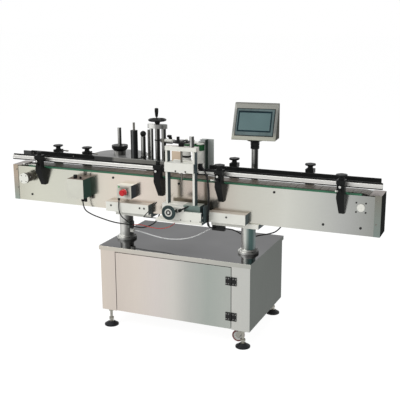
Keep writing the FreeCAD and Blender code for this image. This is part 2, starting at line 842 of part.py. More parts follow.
def guide_rails():
    """Rail brackets, sliding guide rails and the knobs that lock them."""
    levers = {front_left_brackets[0]: 88, front_right_brackets[0]: 38, front_right_brackets[1]: 24}
    bodies = []
    knobs = []
    for name, side, (x0, x1), places in bracket_groups():
        for x in places:
            lever = levers.get(x, 0) if side > 0 else 40
            solids = bracket(x, lever)
            if side > 0 and x in front_left_brackets:
                solids.append(rod_z(knob_stem_radius + running_fit, x, -bracket_post_y, rail_z + 8, bracket_head_top))
                solids.append(rod_z(11, x, -bracket_post_y, bracket_head_top, bracket_head_top + 18))
            else:
                knobs.append((x, side))
            if side > 0 and x == front_right_brackets[0]:
                arm = box(sensor_x[0], x - bracket_head_half, -104, -98, sensor_arm_z[0], sensor_arm_z[1])
                sensor = box(sensor_x[0], sensor_x[1], sensor_y[0], sensor_y[1], sensor_z[0], sensor_z[1])
                solids += [arm, sensor]
            bodies += solids if side > 0 else [other_side(solid) for solid in solids]

        inner = -rail_face
        middle = inner - rail_insert
        outer = middle - rail_body
        parts = [
            box(x0, x1, middle, inner, rail_z - rail_insert_height / 2, rail_z + rail_insert_height / 2),
            box(x0, x1, outer, middle, rail_z - rail_body_height / 2, rail_z + rail_body_height / 2),
        ]
        for x in places:
            parts.append(fuse([
                box(x - 12, x + 12, outer - 6, outer, rail_z - 8, rail_z + 8),
                rod_y(rail_rod_radius, x, rail_z, -rail_rod_end, outer - 3),
            ]))
        if name == "rear_rail_left":
            plate_x0, plate_x1 = infeed_plate
            parts.append(box(
                plate_x0, plate_x1, inner, inner + 10,
                infeed_plate_bottom, infeed_plate_bottom + infeed_plate_height))
        save(name, parts if side > 0 else [other_side(part) for part in parts])
    save("rail_brackets", bodies)

    count = {1: 0, -1: 0}
    for x, side in knobs:
        count[side] += 1
        y = -side * bracket_post_y
        low = bracket_head_top + slide_gap
        neck_top = low + knob_neck_height
        knob = fuse([
            rod_z(knob_stem_radius, x, y, rail_z + rail_rod_radius + slide_gap, low),
            cone_z(knob_neck_radius + 2, knob_neck_radius, x, y, low, low + 4),
            rod_z(knob_neck_radius, x, y, low + 4, neck_top),
            cone_z(knob_cap_radius - 3, knob_cap_radius, x, y, neck_top, neck_top + 3),
            rod_z(knob_cap_radius, x, y, neck_top + 3, neck_top + knob_cap_height - 3),
            cone_z(
                knob_cap_radius, knob_cap_radius - 6, x, y,
                neck_top + knob_cap_height - 3, neck_top + knob_cap_height),
        ])
        place = "front" if side > 0 else "rear"
        save("rail_knob_" + place + "_" + str(count[side]), [knob])


def hollow_box(x, y, z, wall):
    """Box with a cavity that is open toward the panel behind it."""
    body = box(x[0], x[1], y[0], y[1], z[0], z[1])
    return body.cut(box(x[0] + wall, x[1] - wall, y[0] + wall, y[1], z[0] + wall, z[1] - wall))


def panel_boxes():
    """Control box with its knob and the stop box with its button."""
    face = -conveyor_half_width
    body = hollow_box(box_x, (face - box_depth, face), box_z, sheet)
    hole = rod_z(box_knob_shaft + running_fit, box_knob_x, box_knob_y, box_z[1] - sheet, box_z[1])
    switch = rod_z(6, box_switch_x, box_knob_y, box_z[1], box_z[1] + 12)
    glands = [
        rod_z(gland_radius, box_gland_x, box_gland_y, box_z[0] - gland_length, box_z[0]),
        rod_z(gland_radius, box_gland_x + 18, box_gland_y, box_z[0] - gland_length, box_z[0]),
    ]
    save("control_box", [body.cut(hole), switch] + glands)
    low = box_z[1] + slide_gap
    knob = fuse([
        rod_z(box_knob_radius, box_knob_x, box_knob_y, low, low + box_knob_height),
        rod_z(box_knob_shaft, box_knob_x, box_knob_y, box_z[1] - 8, low),
    ])
    save("control_knob", [knob])

    front = face - stop_depth
    body = hollow_box(stop_x, (front, face), stop_z, sheet)
    collar = rod_y(15, stop_button_x, stop_button_z, front - 4, front)
    hole = rod_y(stop_stem_radius + running_fit, stop_button_x, stop_button_z, front - 4, front + sheet)
    lamp = rod_y(4, stop_x[0] + 14, stop_z[1] - 9, front - 3, front)
    gland = rod_z(6, stop_gland_x, stop_gland_y, stop_z[0] - stop_gland_length, stop_z[0])
    save("stop_box", [body.cut(hole), collar.cut(hole), lamp, gland])
    back = front - 4 - stop_travel - slide_gap
    tip = back - stop_button_height
    button = fuse([
        rod_y(stop_stem_radius, stop_button_x, stop_button_z, back, front + sheet + 6),
        Part.makeCone(
            stop_button_radius, stop_button_radius - 5, 6,
            Vector(stop_button_x, back, stop_button_z), Vector(0, 1, 0)).mirror(
                Vector(0, back, 0), Vector(0, 1, 0)),
        rod_y(stop_button_radius - 5, stop_button_x, stop_button_z, tip + 6, back),
        rod_y(stop_button_radius, stop_button_x, stop_button_z, tip + 4, tip + 14),
        rod_y(stop_button_radius - 3, stop_button_x, stop_button_z, tip, tip + 4),
    ])
    save("stop_button", [button])


def operator_panel():
    """Pole on the rear panel and the turning screen box."""
    foot = box(
        pole_x - 24, pole_x + 24, conveyor_half_width, pole_y + 22,
        pole_bottom, pole_bottom + 40)
    foot = foot.cut(rod_z(pole_radius, pole_x, pole_y, pole_bottom, pole_bottom + 40))
    pole = fuse([
        rod_z(pole_radius, pole_x, pole_y, pole_bottom, pole_top),
        rod_z(spigot_radius, pole_x, pole_y, pole_top, pole_top + spigot_height),
    ])
    save("panel_pole", [foot, pole])

    low = pole_top + slide_gap
    flange_z = pole_top + swivel_height
    base_z = flange_z + swivel_flange_height
    swivel = fuse([
        rod_z(swivel_radius, pole_x, pole_y, low, flange_z),
        rod_z(swivel_flange_radius, pole_x, pole_y, flange_z, base_z),
    ])
    swivel = swivel.cut(rod_z(
        spigot_radius + running_fit, pole_x, pole_y, low, pole_top + spigot_height + slide_gap))
    half = panel_box_base / 2
    front_low = pole_y - half + panel_box_offset
    back = pole_y + half + panel_box_offset
    front_high = back - panel_box_crown
    outline = [
        (front_low, base_z), (back, base_z), (back, base_z + panel_box_height),
        (front_high, base_z + panel_box_height)]
    case = prism_yz(outline, pole_x - panel_box_width / 2, pole_x + panel_box_width / 2)
    inner = [
        (front_low + 5, base_z + 3), (back - 2, base_z + 3), (back - 2, base_z + panel_box_height - 3),
        (front_high + 1.5, base_z + panel_box_height - 3)]
    case = case.cut(prism_yz(inner, pole_x - panel_box_width / 2 + 3, pole_x + panel_box_width / 2 - 3))
    lean = math.atan2(panel_box_base - panel_box_crown, panel_box_height)
    middle_y = (front_low + front_high) / 2
    middle_z = base_z + panel_box_height / 2 - 4
    screen = box(
        pole_x - bezel_width / 2, pole_x + bezel_width / 2, middle_y - bezel_depth, middle_y,
        middle_z - bezel_height / 2, middle_z + bezel_height / 2)
    screen.rotate(Vector(pole_x, middle_y, base_z + panel_box_height / 2), Vector(1, 0, 0), -math.degrees(lean))
    solids = [swivel, case, screen.cut(case)]
    save("operator_panel", [turned(solid, pole_x, pole_y, panel_box_yaw) for solid in solids])


def hand_wheel(x, y, z, radius, hub_radius, hub_low, axis):
    """Rim, three spokes and a hub round an axis; hub_low is the hub's length below the rim."""
    parts = [ring(radius, wheel_rim, x, y, z, axis)]
    if axis.z:
        parts.append(rod_z(hub_radius, x, y, z - hub_low, z + 5))
    else:
        parts.append(rod_y(hub_radius, x, z, y - 5, y + hub_low))
    for spoke in range(3):
        angle = math.radians(90 + 120 * spoke)
        if axis.z:
            direction = Vector(math.cos(angle), math.sin(angle), 0)
        else:
            direction = Vector(math.cos(angle), 0, math.sin(angle))
        parts.append(Part.makeCylinder(wheel_rim * 0.8, radius, Vector(x, y, z), direction))
    return parts


def wrap_station():
    """Hand-set station that presses the bottle: slide, portal, pad block and wheels."""
    face = -conveyor_half_width
    plate_top = base_bottom + base_thickness
    rail_top = plate_top + base_rail_height
    plate = box(base_x[0], base_x[1], -base_front, face - slide_gap, base_bottom, plate_top)
    upstand = box(base_x[0], base_x[1], face - slide_gap - 8, face - slide_gap, base_bottom, plate_top + 35)
    front_plate = fuse([
        box(
            front_plate_x[0], front_plate_x[1], -front_plate_y, -front_plate_y + front_plate_thickness,
            plate_top, front_plate_top),
        box(
            front_plate_x[0], ear_right, -front_plate_y, -front_plate_y + front_plate_thickness,
            plate_top, ear_top),
    ])
    front_plate = cut(front_plate, [
        rod_y(feed_screw_radius + running_fit, feed_x, feed_z, -200, -100),
        rod_y(lever_shaft_radius + running_fit, lever_x, lever_z, -200, -100),
    ])
    ways = box(
        front_plate_x[0], front_plate_x[1], -front_plate_y + front_plate_thickness, -70,
        plate_top, rail_top)
    slab = box(side_slab_x, side_slab_x + side_slab - 2, -150, -75, plate_top, carriage_top)
    save("wrap_base", [fuse([plate, upstand]), front_plate, ways, slab])

    block = box(
        carriage_x[0], carriage_x[1], -carriage_front, -carriage_back,
        rail_top + slide_gap, carriage_top)
    block = block.cut(rod_y(feed_screw_radius + running_fit, feed_x, feed_z, -200, 0))
    solids = [block]
    for x in upright_x:
        solids.append(box(x, x + upright_width, upright_y[0], upright_y[1], carriage_top, portal_bottom))
    portal_top = portal_bottom + portal_plate
    crown = box(portal_x[0], portal_x[1], portal_y[0], portal_y[1], portal_bottom, portal_top)
    solids.append(crown.cut(rod_z(lift_screw_radius + running_fit, lift_x, lift_y, portal_bottom, portal_top)))
    solids.append(rod_z(post_radius, post_x, -130, portal_top, portal_top + post_height))
    save("wrap_carriage", solids)

    wheel = hand_wheel(
        lift_x, lift_y, lift_wheel_z, lift_wheel_radius, lift_hub_radius,
        lift_wheel_z - portal_top - slide_gap, Vector(0, 0, 1))
    wheel.append(rod_z(lift_screw_radius, lift_x, lift_y, lift_screw_bottom, portal_top + slide_gap))
    grip_angle = math.radians(270)
    grip_x = lift_x + lift_wheel_radius * math.cos(grip_angle)
    grip_y = lift_y + lift_wheel_radius * math.sin(grip_angle)
    wheel.append(rod_z(7.5, grip_x, grip_y, lift_wheel_z, lift_handle_top))
    save("wrap_lift_wheel", [fuse(wheel)])

    low, high = block_z
    front = upright_y[0] - slide_gap
    face_plate = box(upright_x[0], upright_x[1] + upright_width, front - block_face, front, low, high)
    core = box(
        upright_x[0] + upright_width + slide_gap, upright_x[1] - slide_gap, front, block_back, low, high)
    arm = box(5, 85, block_back, -pad_face - pad_sponge - pad_backing, low + 5, high - 9)
    body = fuse([face_plate, core, arm])
    body = body.cut(rod_z(lift_screw_radius + running_fit, lift_x, lift_y, low, high))
    backing = box(
        pad_x[0], pad_x[1], -pad_face - pad_sponge - pad_backing, -pad_face - pad_sponge,
        pad_z[0], pad_z[1])
    sponge = box(pad_x[0], pad_x[1], -pad_face - pad_sponge, -pad_face, pad_z[0], pad_z[1])
    save("wrap_block", [body, backing, sponge])

    wheel = hand_wheel(
        feed_x, -feed_wheel_y, feed_z, feed_wheel_radius, 18,
        feed_wheel_y - front_plate_y - slide_gap, Vector(0, 1, 0))
    wheel.append(rod_y(feed_wheel_radius, feed_x, feed_z, -feed_wheel_y - 2, -feed_wheel_y + 2))
    wheel.append(rod_y(feed_screw_radius, feed_x, feed_z, -front_plate_y - slide_gap, -carriage_back - 4))
    save("wrap_feed_wheel", [fuse(wheel)])

    outer = -front_plate_y - slide_gap
    lever = fuse([
        rod_y(lever_shaft_radius, lever_x, lever_z, outer, -front_plate_y + front_plate_thickness - 1),
        rod_y(8, lever_x, lever_z, outer - 13, outer),
        Part.makeCylinder(4, 55, Vector(lever_x, outer - 8, lever_z), Vector(0.87, -0.1, 0.48)),
    ])
    save("wrap_clamp_lever", [lever])


def band_prism(radius, z0, z1):
    """Prism of the wrap belt's outline round its two rollers."""
    parts = [
        rod_z(radius, roller_left_x, roller_y, z0, z1),
        rod_z(radius, roller_right_x, roller_y, z0, z1),
        box(roller_left_x, roller_right_x, roller_y - radius, roller_y + radius, z0, z1),
    ]
    return fuse(parts)


def belt_unit():
    """Driven wrap belt: housing, belt, rollers, guard and motor."""
    top_z = belt_z[1] + 4
    housing = box(housing_x[0], housing_x[1], housing_y[0], housing_y[1], housing_z[0], housing_z[1])
    cover = box(roller_left_x - 24, roller_right_x + 22, 52, 88, top_z, top_z + belt_top_plate)
    bore = roller_shaft_radius + running_fit
    holes = [rod_z(bore, x, roller_y, housing_z[0] + 10, top_z + belt_top_plate) for x in (roller_left_x, roller_right_x)]
    middle_x = (roller_left_x + roller_right_x) / 2
    pillar = rod_z(7, middle_x, roller_y, housing_z[1], top_z)
    bracket_plate = box(
        -20, 60, conveyor_half_width, conveyor_half_width + 10, belt_motor_bottom - 10, conveyor_top)
    screw_room = rod_y(screw_head_radius + 3, upper_tie_x[1], upper_tie_z, conveyor_half_width, 70)
    bracket_plate = bracket_plate.cut(screw_room)
    shelf = box(-20, 60, conveyor_half_width + strip_overhang + slide_gap, 110, conveyor_top, housing_z[0])
    motor = rod_z(belt_motor_radius, roller_right_x, belt_motor_y, belt_motor_bottom, housing_z[0])
    guard = fuse([
        box(housing_x[1], housing_x[1] + sheet, guard_depth[0], guard_depth[1], guard_z[0], guard_z[1]),
        box(housing_x[1], guard_right, guard_depth[1] - sheet, guard_depth[1], guard_z[0], guard_z[1]),
        box(housing_x[1] - 28, housing_x[1] + sheet, guard_depth[0], guard_depth[1], guard_z[1] - sheet, guard_z[1]),
    ])
    nuts = [rod_z(7, x, roller_y, top_z + belt_top_plate, top_z + belt_top_plate + 9) for x in (middle_x,)]
    save("belt_unit_frame", [
        cut(housing, holes), cut(cover, holes), pillar, bracket_plate, shelf.cut(motor), motor, guard] + nuts)

    inner = belt_roller_radius + slide_gap
    belt = band_prism(inner + belt_thickness, belt_z[0], belt_z[1]).cut(band_prism(inner, belt_z[0], belt_z[1]))
    save("wrap_belt", [belt])
    low = housing_z[1] + slide_gap
    high = top_z - slide_gap
    for name, x, knob_height in (("belt_drive_roller", roller_right_x, 4), ("belt_idler_roller", roller_left_x, 12)):
        roller = fuse([
            rod_z(belt_roller_radius, x, roller_y, low, high),
            rod_z(roller_shaft_radius, x, roller_y, housing_z[0] + 10 + slide_gap, top_z + belt_top_plate + knob_height),
        ])
        save(name, [roller])


def label_head():
    """Mast on the rear panel and the label head that it lifts."""
    x0 = mast_x - 66
    x1 = mast_x + 64
    left_x = mast_x - mast_rod_offset
    right_x = mast_x + mast_rod_offset
    rear = mast_y + 35
    foot = box(x0, x1, conveyor_half_width, rear, mast_bottom - mast_foot, mast_bottom)
    foot = foot.cut(rod_z(mast_neck_radius + running_fit, mast_x, mast_y, mast_bottom - 12, mast_bottom))
    gusset_outline = [
        (conveyor_half_width, mast_bottom - mast_foot), (rear - 20, mast_bottom - mast_foot),
        (conveyor_half_width, mast_bottom - mast_foot - 60)]
    gussets = [prism_yz(gusset_outline, x, x + 6) for x in (x0, x1 - 6)]
    rods = [
        rod_z(mast_left_radius, left_x, mast_y, mast_bottom, mast_top),
        rod_z(mast_right_radius, right_x, mast_y, mast_bottom, mast_top),
    ]
    crown = fuse([
        box(left_x, right_x, mast_y - 20, mast_y + 20, mast_top, mast_top + mast_block),
        rod_z(20, left_x, mast_y, mast_top, mast_top + mast_block),
        rod_z(20, right_x, mast_y, mast_top, mast_top + mast_block),
    ])
    crown = crown.cut(rod_z(mast_neck_radius + running_fit, mast_x, mast_y, mast_top, mast_top + mast_block))
    clamp_low = mast_clamp_z
    clamp_high = clamp_low + mast_clamp_height
    clamp = fuse([
        rod_z(mast_clamp_radius, right_x, mast_y, clamp_low, clamp_high),
        box(right_x, right_x + mast_clamp_reach, mast_y - 10, mast_y + 10, clamp_low + 3, clamp_high - 3),
        rod_z(22, right_x + mast_clamp_reach - 22, mast_y, clamp_low + 6, clamp_high - 4),
    ]).cut(rod_z(mast_right_radius, right_x, mast_y, mast_bottom, mast_top))
    screw = rod_z(8, right_x + mast_clamp_reach - 22, mast_y, clamp_high - 3, clamp_high + 10)
    save("head_support", [foot] + gussets + rods + [crown, clamp, screw])

    gap = slide_gap
    screw_parts = [
        rod_z(mast_screw_radius, mast_x, mast_y, mast_bottom + gap, mast_top - gap),
        rod_z(mast_neck_radius, mast_x, mast_y, mast_bottom - 11, mast_top + mast_block + gap),
        rod_z(mast_collar_radius, mast_x, mast_y, mast_clamp_z + 5, mast_clamp_z + 5 + mast_collar_height),
    ]
    screw_parts += hand_wheel(
        mast_x, mast_y, mast_wheel_z, mast_wheel_radius, 13,
        mast_wheel_z - mast_top - mast_block - gap, Vector(0, 0, 1))
    grip_angle = math.radians(117)
    grip_x = mast_x + mast_wheel_radius * math.cos(grip_angle)
    grip_y = mast_y + mast_wheel_radius * math.sin(grip_angle)
    screw_parts.append(rod_z(5, grip_x, grip_y, mast_wheel_z, mast_wheel_z + 14))
    screw_parts.append(rod_z(9.5, grip_x, grip_y, mast_wheel_z + 12, mast_handle_top))
    save("head_lift_wheel", [fuse(screw_parts)])

    outline = [
        (unwind_x - 50, unwind_y - 50), (unwind_x - 50, unwind_y + 50), (unwind_x + 65, unwind_y + 50),
        (guide_x + 25, guide_y + 22), (peel_x[1] - 7, guide_y + 22), (peel_x[1] - 7, head_front),
        (rubber_x - 20, head_front)]
    plate = prism_xy(outline, head_z, head_top)
    block = box(left_x - 23, right_x + 23, mast_y - 25, mast_y + 25, head_z - head_block_height, head_z)
    bores = [
        rod_z(mast_left_radius + running_fit, left_x, mast_y, mast_bottom, mast_top),
        rod_z(mast_right_radius + running_fit, right_x, mast_y, mast_bottom, mast_top),
        rod_z(mast_screw_radius + running_fit, mast_x, mast_y, mast_bottom, mast_top),
    ]
    axle = roller_axle_radius + running_fit
    pivots = [
        rod_z(axle, unwind_x, unwind_y, head_z, head_top),
        rod_z(axle, rubber_x, rubber_y, head_z, head_top),
        rod_z(axle, steel_x, steel_y, head_z, head_top),
    ]
    post = rod_z(guide_radius, guide_x, guide_y, head_top, guide_top)
    peel = box(peel_x[0], peel_x[1], head_front - peel_thickness, head_front, peel_z[0], peel_z[1])
    half = label_motor_width / 2
    motor = box(
        label_motor_x - half, label_motor_x + half, label_motor_y - half, label_motor_y + half,
        head_z - label_motor_height, head_z)
    save("head_plate", [cut(plate, bores + pivots), cut(block, bores), post, peel, motor])

    hub_top = unwind_disc_z + unwind_disc + unwind_hub_height
    cone_top = hub_top + unwind_cone_height
    disc = fuse([
        rod_z(roller_axle_radius, unwind_x, unwind_y, head_z - 6, unwind_disc_z),
        rod_z(unwind_hub_radius * 0.6, unwind_x, unwind_y, head_top + gap, unwind_disc_z),
        rod_z(unwind_radius, unwind_x, unwind_y, unwind_disc_z, unwind_disc_z + unwind_disc),
        rod_z(unwind_hub_radius, unwind_x, unwind_y, unwind_disc_z + unwind_disc, hub_top),
        cone_z(unwind_hub_radius, unwind_cone_radius, unwind_x, unwind_y, hub_top, hub_top + 14),
        rod_z(unwind_cone_radius, unwind_x, unwind_y, hub_top + 14, cone_top),
        rod_z(unwind_spindle_radius, unwind_x, unwind_y, cone_top, unwind_top),
    ])
    save("unwind_reel", [disc])

    low = head_top + gap
    rubber = fuse([
        rod_z(roller_axle_radius, rubber_x, rubber_y, head_z - 4, rubber_shaft_top),
        rod_z(rubber_radius, rubber_x, rubber_y, low + 3, rubber_top),
        rod_z(rubber_radius * 0.6, rubber_x, rubber_y, low, low + 3),
    ])
    save("rubber_roller", [rubber])
    steel = fuse([
        rod_z(roller_axle_radius, steel_x, steel_y, head_z - 4, steel_top + 10),
        rod_z(steel_radius + 3, steel_x, steel_y, low, low + 12),
        rod_z(steel_radius, steel_x, steel_y, low + 12, steel_top),
        Part.makeSphere(14, Vector(steel_x, steel_y, steel_top + 13)),
    ])
    save("steel_roller", [steel])


def electrical_plate():
    """Plate on the cabinet's back wall with the drives and terminals."""
    back = body_y1 - sheet
    low = cabinet_bottom_z + sheet
    middle = (body_x0 + body_x1) / 2
    plate = box(
        middle - plate_width / 2, middle + plate_width / 2, back - plate_thickness, back,
        low + 40, low + 40 + plate_height)
    face = back - plate_thickness
    parts = [plate]
    devices = (
        (-250, -150, 90, 110), (-130, -40, 70, 130), (-20, 70, 70, 130), (90, 170, 60, 100), (190, 250, 80, 90))
    for x0, x1, depth, height in devices:
        parts.append(box(middle + x0, middle + x1, face - depth, face, low + 120, low + 120 + height))
    parts.append(box(middle - 250, middle + 250, face - 7.5, face, low + 80, low + 100))
    parts.append(box(middle - 220, middle + 120, face - 50, face - 7.5, low + 65, low + 112))
    save("electrical_plate", parts)


def tube_along(points, radius):
    """Round tube along straight runs and tangent arcs; also returns its length and tightest bend."""
    places = [Vector(*point) for point in points]
    runs = [(places[i + 1] - places[i]).Length for i in range(len(places) - 1)]
    edges = []
    start = places[0]
    length = 0.0
    tightest = 1e9
    for i in range(1, len(places) - 1):
        before = (places[i] - places[i - 1]).normalize()
        after = (places[i + 1] - places[i]).normalize()
        turn = before.getAngle(after)
        shorter = min(runs[i - 1], runs[i])
        cut_back = bend_share * shorter
        bend = cut_back / math.tan(turn / 2)
        tightest = min(tightest, bend)
        arc_start = places[i] - before * cut_back
        arc_end = places[i] + after * cut_back
        inward = (after - before).normalize()
        middle = places[i] + inward * (bend / math.cos(turn / 2) - bend)
        edges.append(Part.LineSegment(start, arc_start).toShape())
        edges.append(Part.Arc(arc_start, middle, arc_end).toShape())
        length += (arc_start - start).Length + bend * turn
        start = arc_end
    edges.append(Part.LineSegment(start, places[-1]).toShape())
    length += (places[-1] - start).Length
    route = Part.Wire(edges)
    first = (places[1] - places[0]).normalize()
    section = Part.Wire(Part.makeCircle(radius, places[0], first))
    tube = route.makePipeShell([section], True, True)
    return tube, length, tightest


def cables():
    """Hanging cables and what they plug into."""
    clip = box(clip_x[0], clip_x[1], clip_y[0], clip_y[1], clip_z[0], clip_z[1])
    clip = clip.cut(rod_z(column_radius, column_left_x, 0, clip_z[0], clip_z[1]))
    elbow = box(clip_x[0] + 6, clip_x[1] - 2, -22, -2, elbow_z[0], elbow_z[1])
    elbow = elbow.cut(rod_z(column_radius, column_left_x, 0, elbow_z[0], elbow_z[1]))
    joint_box = box(
        joint_box_x[0], joint_box_x[1], joint_box_y[0], joint_box_y[1], joint_box_z[0], joint_box_z[1])
    hanger = box(
        joint_box_x[0] + 24, joint_box_x[0] + 42, joint_box_y[0], joint_box_y[1],
        joint_box_z[1], conveyor_bottom - saddle_plate)
    save("cable_fittings", [clip, elbow, joint_box, hanger])

    routes = (
        ("box_cable", box_cable_route, box_cable_diameter),
        ("stop_cable", stop_cable_route, stop_cable_diameter),
        ("red_wire", red_wire_route, red_wire_diameter),
        ("air_tube", air_tube_route, air_tube_diameter),
        ("belt_cable", belt_cable_route, belt_cable_diameter),
        ("link_cable", link_cable_route, link_cable_diameter),
    )
    for name, route, diameter in routes:
        tube, length, tightest = tube_along(route, diameter / 2)
        expected = length * math.pi * (diameter / 2) ** 2
        print(
            name, "length", round(length), "tightest bend", round(tightest, 1),
            "volume ratio", round(tube.Volume / expected, 4))
        save(name, [tube])


def main():
    """Build every node."""
    os.makedirs("parts", exist_ok=True)
    cabinet()
    door()
    feet()
    casters()
    columns()
    conveyor()
    chain_and_shafts()
    bearings()
    guide_rails()
    panel_boxes()
    operator_panel()
    wrap_station()
    belt_unit()
    label_head()
    electrical_plate()
    cables()


main()
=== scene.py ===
"""Looks of the labelling machine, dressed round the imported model."""
import bpy
import bmesh
import math
from mathutils import Matrix, Vector


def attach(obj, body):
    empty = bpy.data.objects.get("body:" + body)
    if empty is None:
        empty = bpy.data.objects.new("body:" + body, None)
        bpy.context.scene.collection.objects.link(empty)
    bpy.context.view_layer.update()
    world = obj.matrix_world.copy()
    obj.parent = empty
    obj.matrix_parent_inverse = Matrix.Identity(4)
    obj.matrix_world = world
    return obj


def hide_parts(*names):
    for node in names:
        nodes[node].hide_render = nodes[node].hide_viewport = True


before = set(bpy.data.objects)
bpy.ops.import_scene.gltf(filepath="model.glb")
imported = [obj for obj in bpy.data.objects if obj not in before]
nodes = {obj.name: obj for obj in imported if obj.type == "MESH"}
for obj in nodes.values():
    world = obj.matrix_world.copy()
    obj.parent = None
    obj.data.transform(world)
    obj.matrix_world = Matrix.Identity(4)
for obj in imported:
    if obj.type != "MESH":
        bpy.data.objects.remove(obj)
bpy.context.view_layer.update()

# Frame: shapes below are written in millimetres with y = 0 on the conveyor's centre line
conveyor_y = -88.0
millimetre = 0.001
up = (0, 0, 1)
forward = (0, -1, 0)
backward = (0, 1, 0)

# Camera
camera_place = (1582.0, -3486.0, 1633.0)
camera_yaw = 23.22
camera_pitch = 14.06
camera_roll = -0.33
camera_lens = 69.83

# Light
world_fill = 0.55
floor_white = 0.82
floor_glow = 1.12
floor_colour = 0.8
floor_reach = 40.0

# Conveyor
panel_face = 56.0
shaft_z = 736.0
idler_x = -898.0
drive_x = 908.0
chain_inner = 62.5
chain_outer = 66.0
slat_half_width = 41.25
slat_count = 105
slat_gap = 1.8
panel_screws = ((-977, 772), (-974, 672), (980, 772), (980, 664))

# Guide rails: ends, side of the conveyor and bracket places
rail_z = 839.0
rails = {
    "front_rail_left": (-997.0, -80.0, -1, (-802.0, -100.0)),
    "front_rail_right": (105.0, 1000.0, -1, (228.0, 822.0)),
    "rear_rail_left": (-1000.0, -90.0, 1, (-803.0, -619.0)),
    "rear_rail_right": (120.0, 976.0, 1, (236.0, 627.0)),
}
knobs = {
    "rail_knob_front_1": (228.0, -92.0), "rail_knob_front_2": (822.0, -92.0),
    "rail_knob_rear_1": (-803.0, 92.0), "rail_knob_rear_2": (-619.0, 92.0),
    "rail_knob_rear_3": (236.0, 92.0), "rail_knob_rear_4": (627.0, 92.0),
}
knob_stem_low = 845.4
knob_low = 868.3
lever_tips = (-885, 195, 803, -838, -654, 201, 592)

# Columns and saddles
column_x = (-337.0, 347.0)
column_radius = 36.0
top_plate_z = 438.0
saddle_low = 582.0
saddle_mid = 604.0
saddle_top = 655.0

# Door hinges
hinge_face = -177.4
hinge_heights = (157, 340)

# Wrap station
plate_face = -171.9
lift_screw = (45, -128)
feed_wheel = (8, 660)

# Belt unit and label head, seen from above
belt_idler = (-16, 70)
post = (101, -130)
mast = (-219, 150)
unwind = (-495, 235)
guide_post = (-295, 200)
rubber_roller = (-347.5, 128.5)
ball_place = (-294, 130)
mast_knob = (-150, 150)

# Screen box
pole = (341.0, 100.0)
sleeve_radius = 16.8
case_low = 993.7
case_top = 1166.6
case_half_width = 110.3
case_yaw = 5.9
face_low_y = 56.2
face_high_y = 136.9
case_back = 156.2


def at(x, y, z):
    """Point in the row frame, in metres."""
    return Vector((x, y + conveyor_y, z)) * millimetre


def placed(name, data):
    """New object in the scene."""
    thing = bpy.data.objects.new(name, data)
    bpy.context.scene.collection.objects.link(thing)
    return thing


# Camera


def make_camera():
    """Camera at the photograph's place."""
    data = bpy.data.cameras.new("camera")
    data.lens = camera_lens
    data.sensor_width = 36.0
    data.clip_end = 100.0
    camera = placed("camera", data)
    turn = Matrix.Rotation(math.radians(camera_yaw), 4, "Z")
    turn @= Matrix.Rotation(math.radians(90 - camera_pitch), 4, "X")
    turn @= Matrix.Rotation(math.radians(camera_roll), 4, "Z")
    camera.matrix_world = Matrix.Translation(at(*camera_place)) @ turn
    bpy.context.scene.camera = camera


# Materials


def tone(red, green=None, blue=None):
    """Linear colour that shows as these values out of 255; one value alone is a warm grey."""
    if green is None:
        green = red
        blue = red * 0.98

    def linear(value):
        value /= 255.0
        return value / 12.92 if value <= 0.04045 else ((value + 0.055) / 1.055) ** 2.4
    return (linear(red), linear(green), linear(blue))


def colour(value):
    """Four numbers from a grey or from three."""
    if isinstance(value, (int, float)):
        return (value, value, value, 1.0)
    return (*value, 1.0)


def shade(value, factor):
    """Darker or lighter version of a colour."""
    return tuple(min(1.0, part * factor) for part in value)


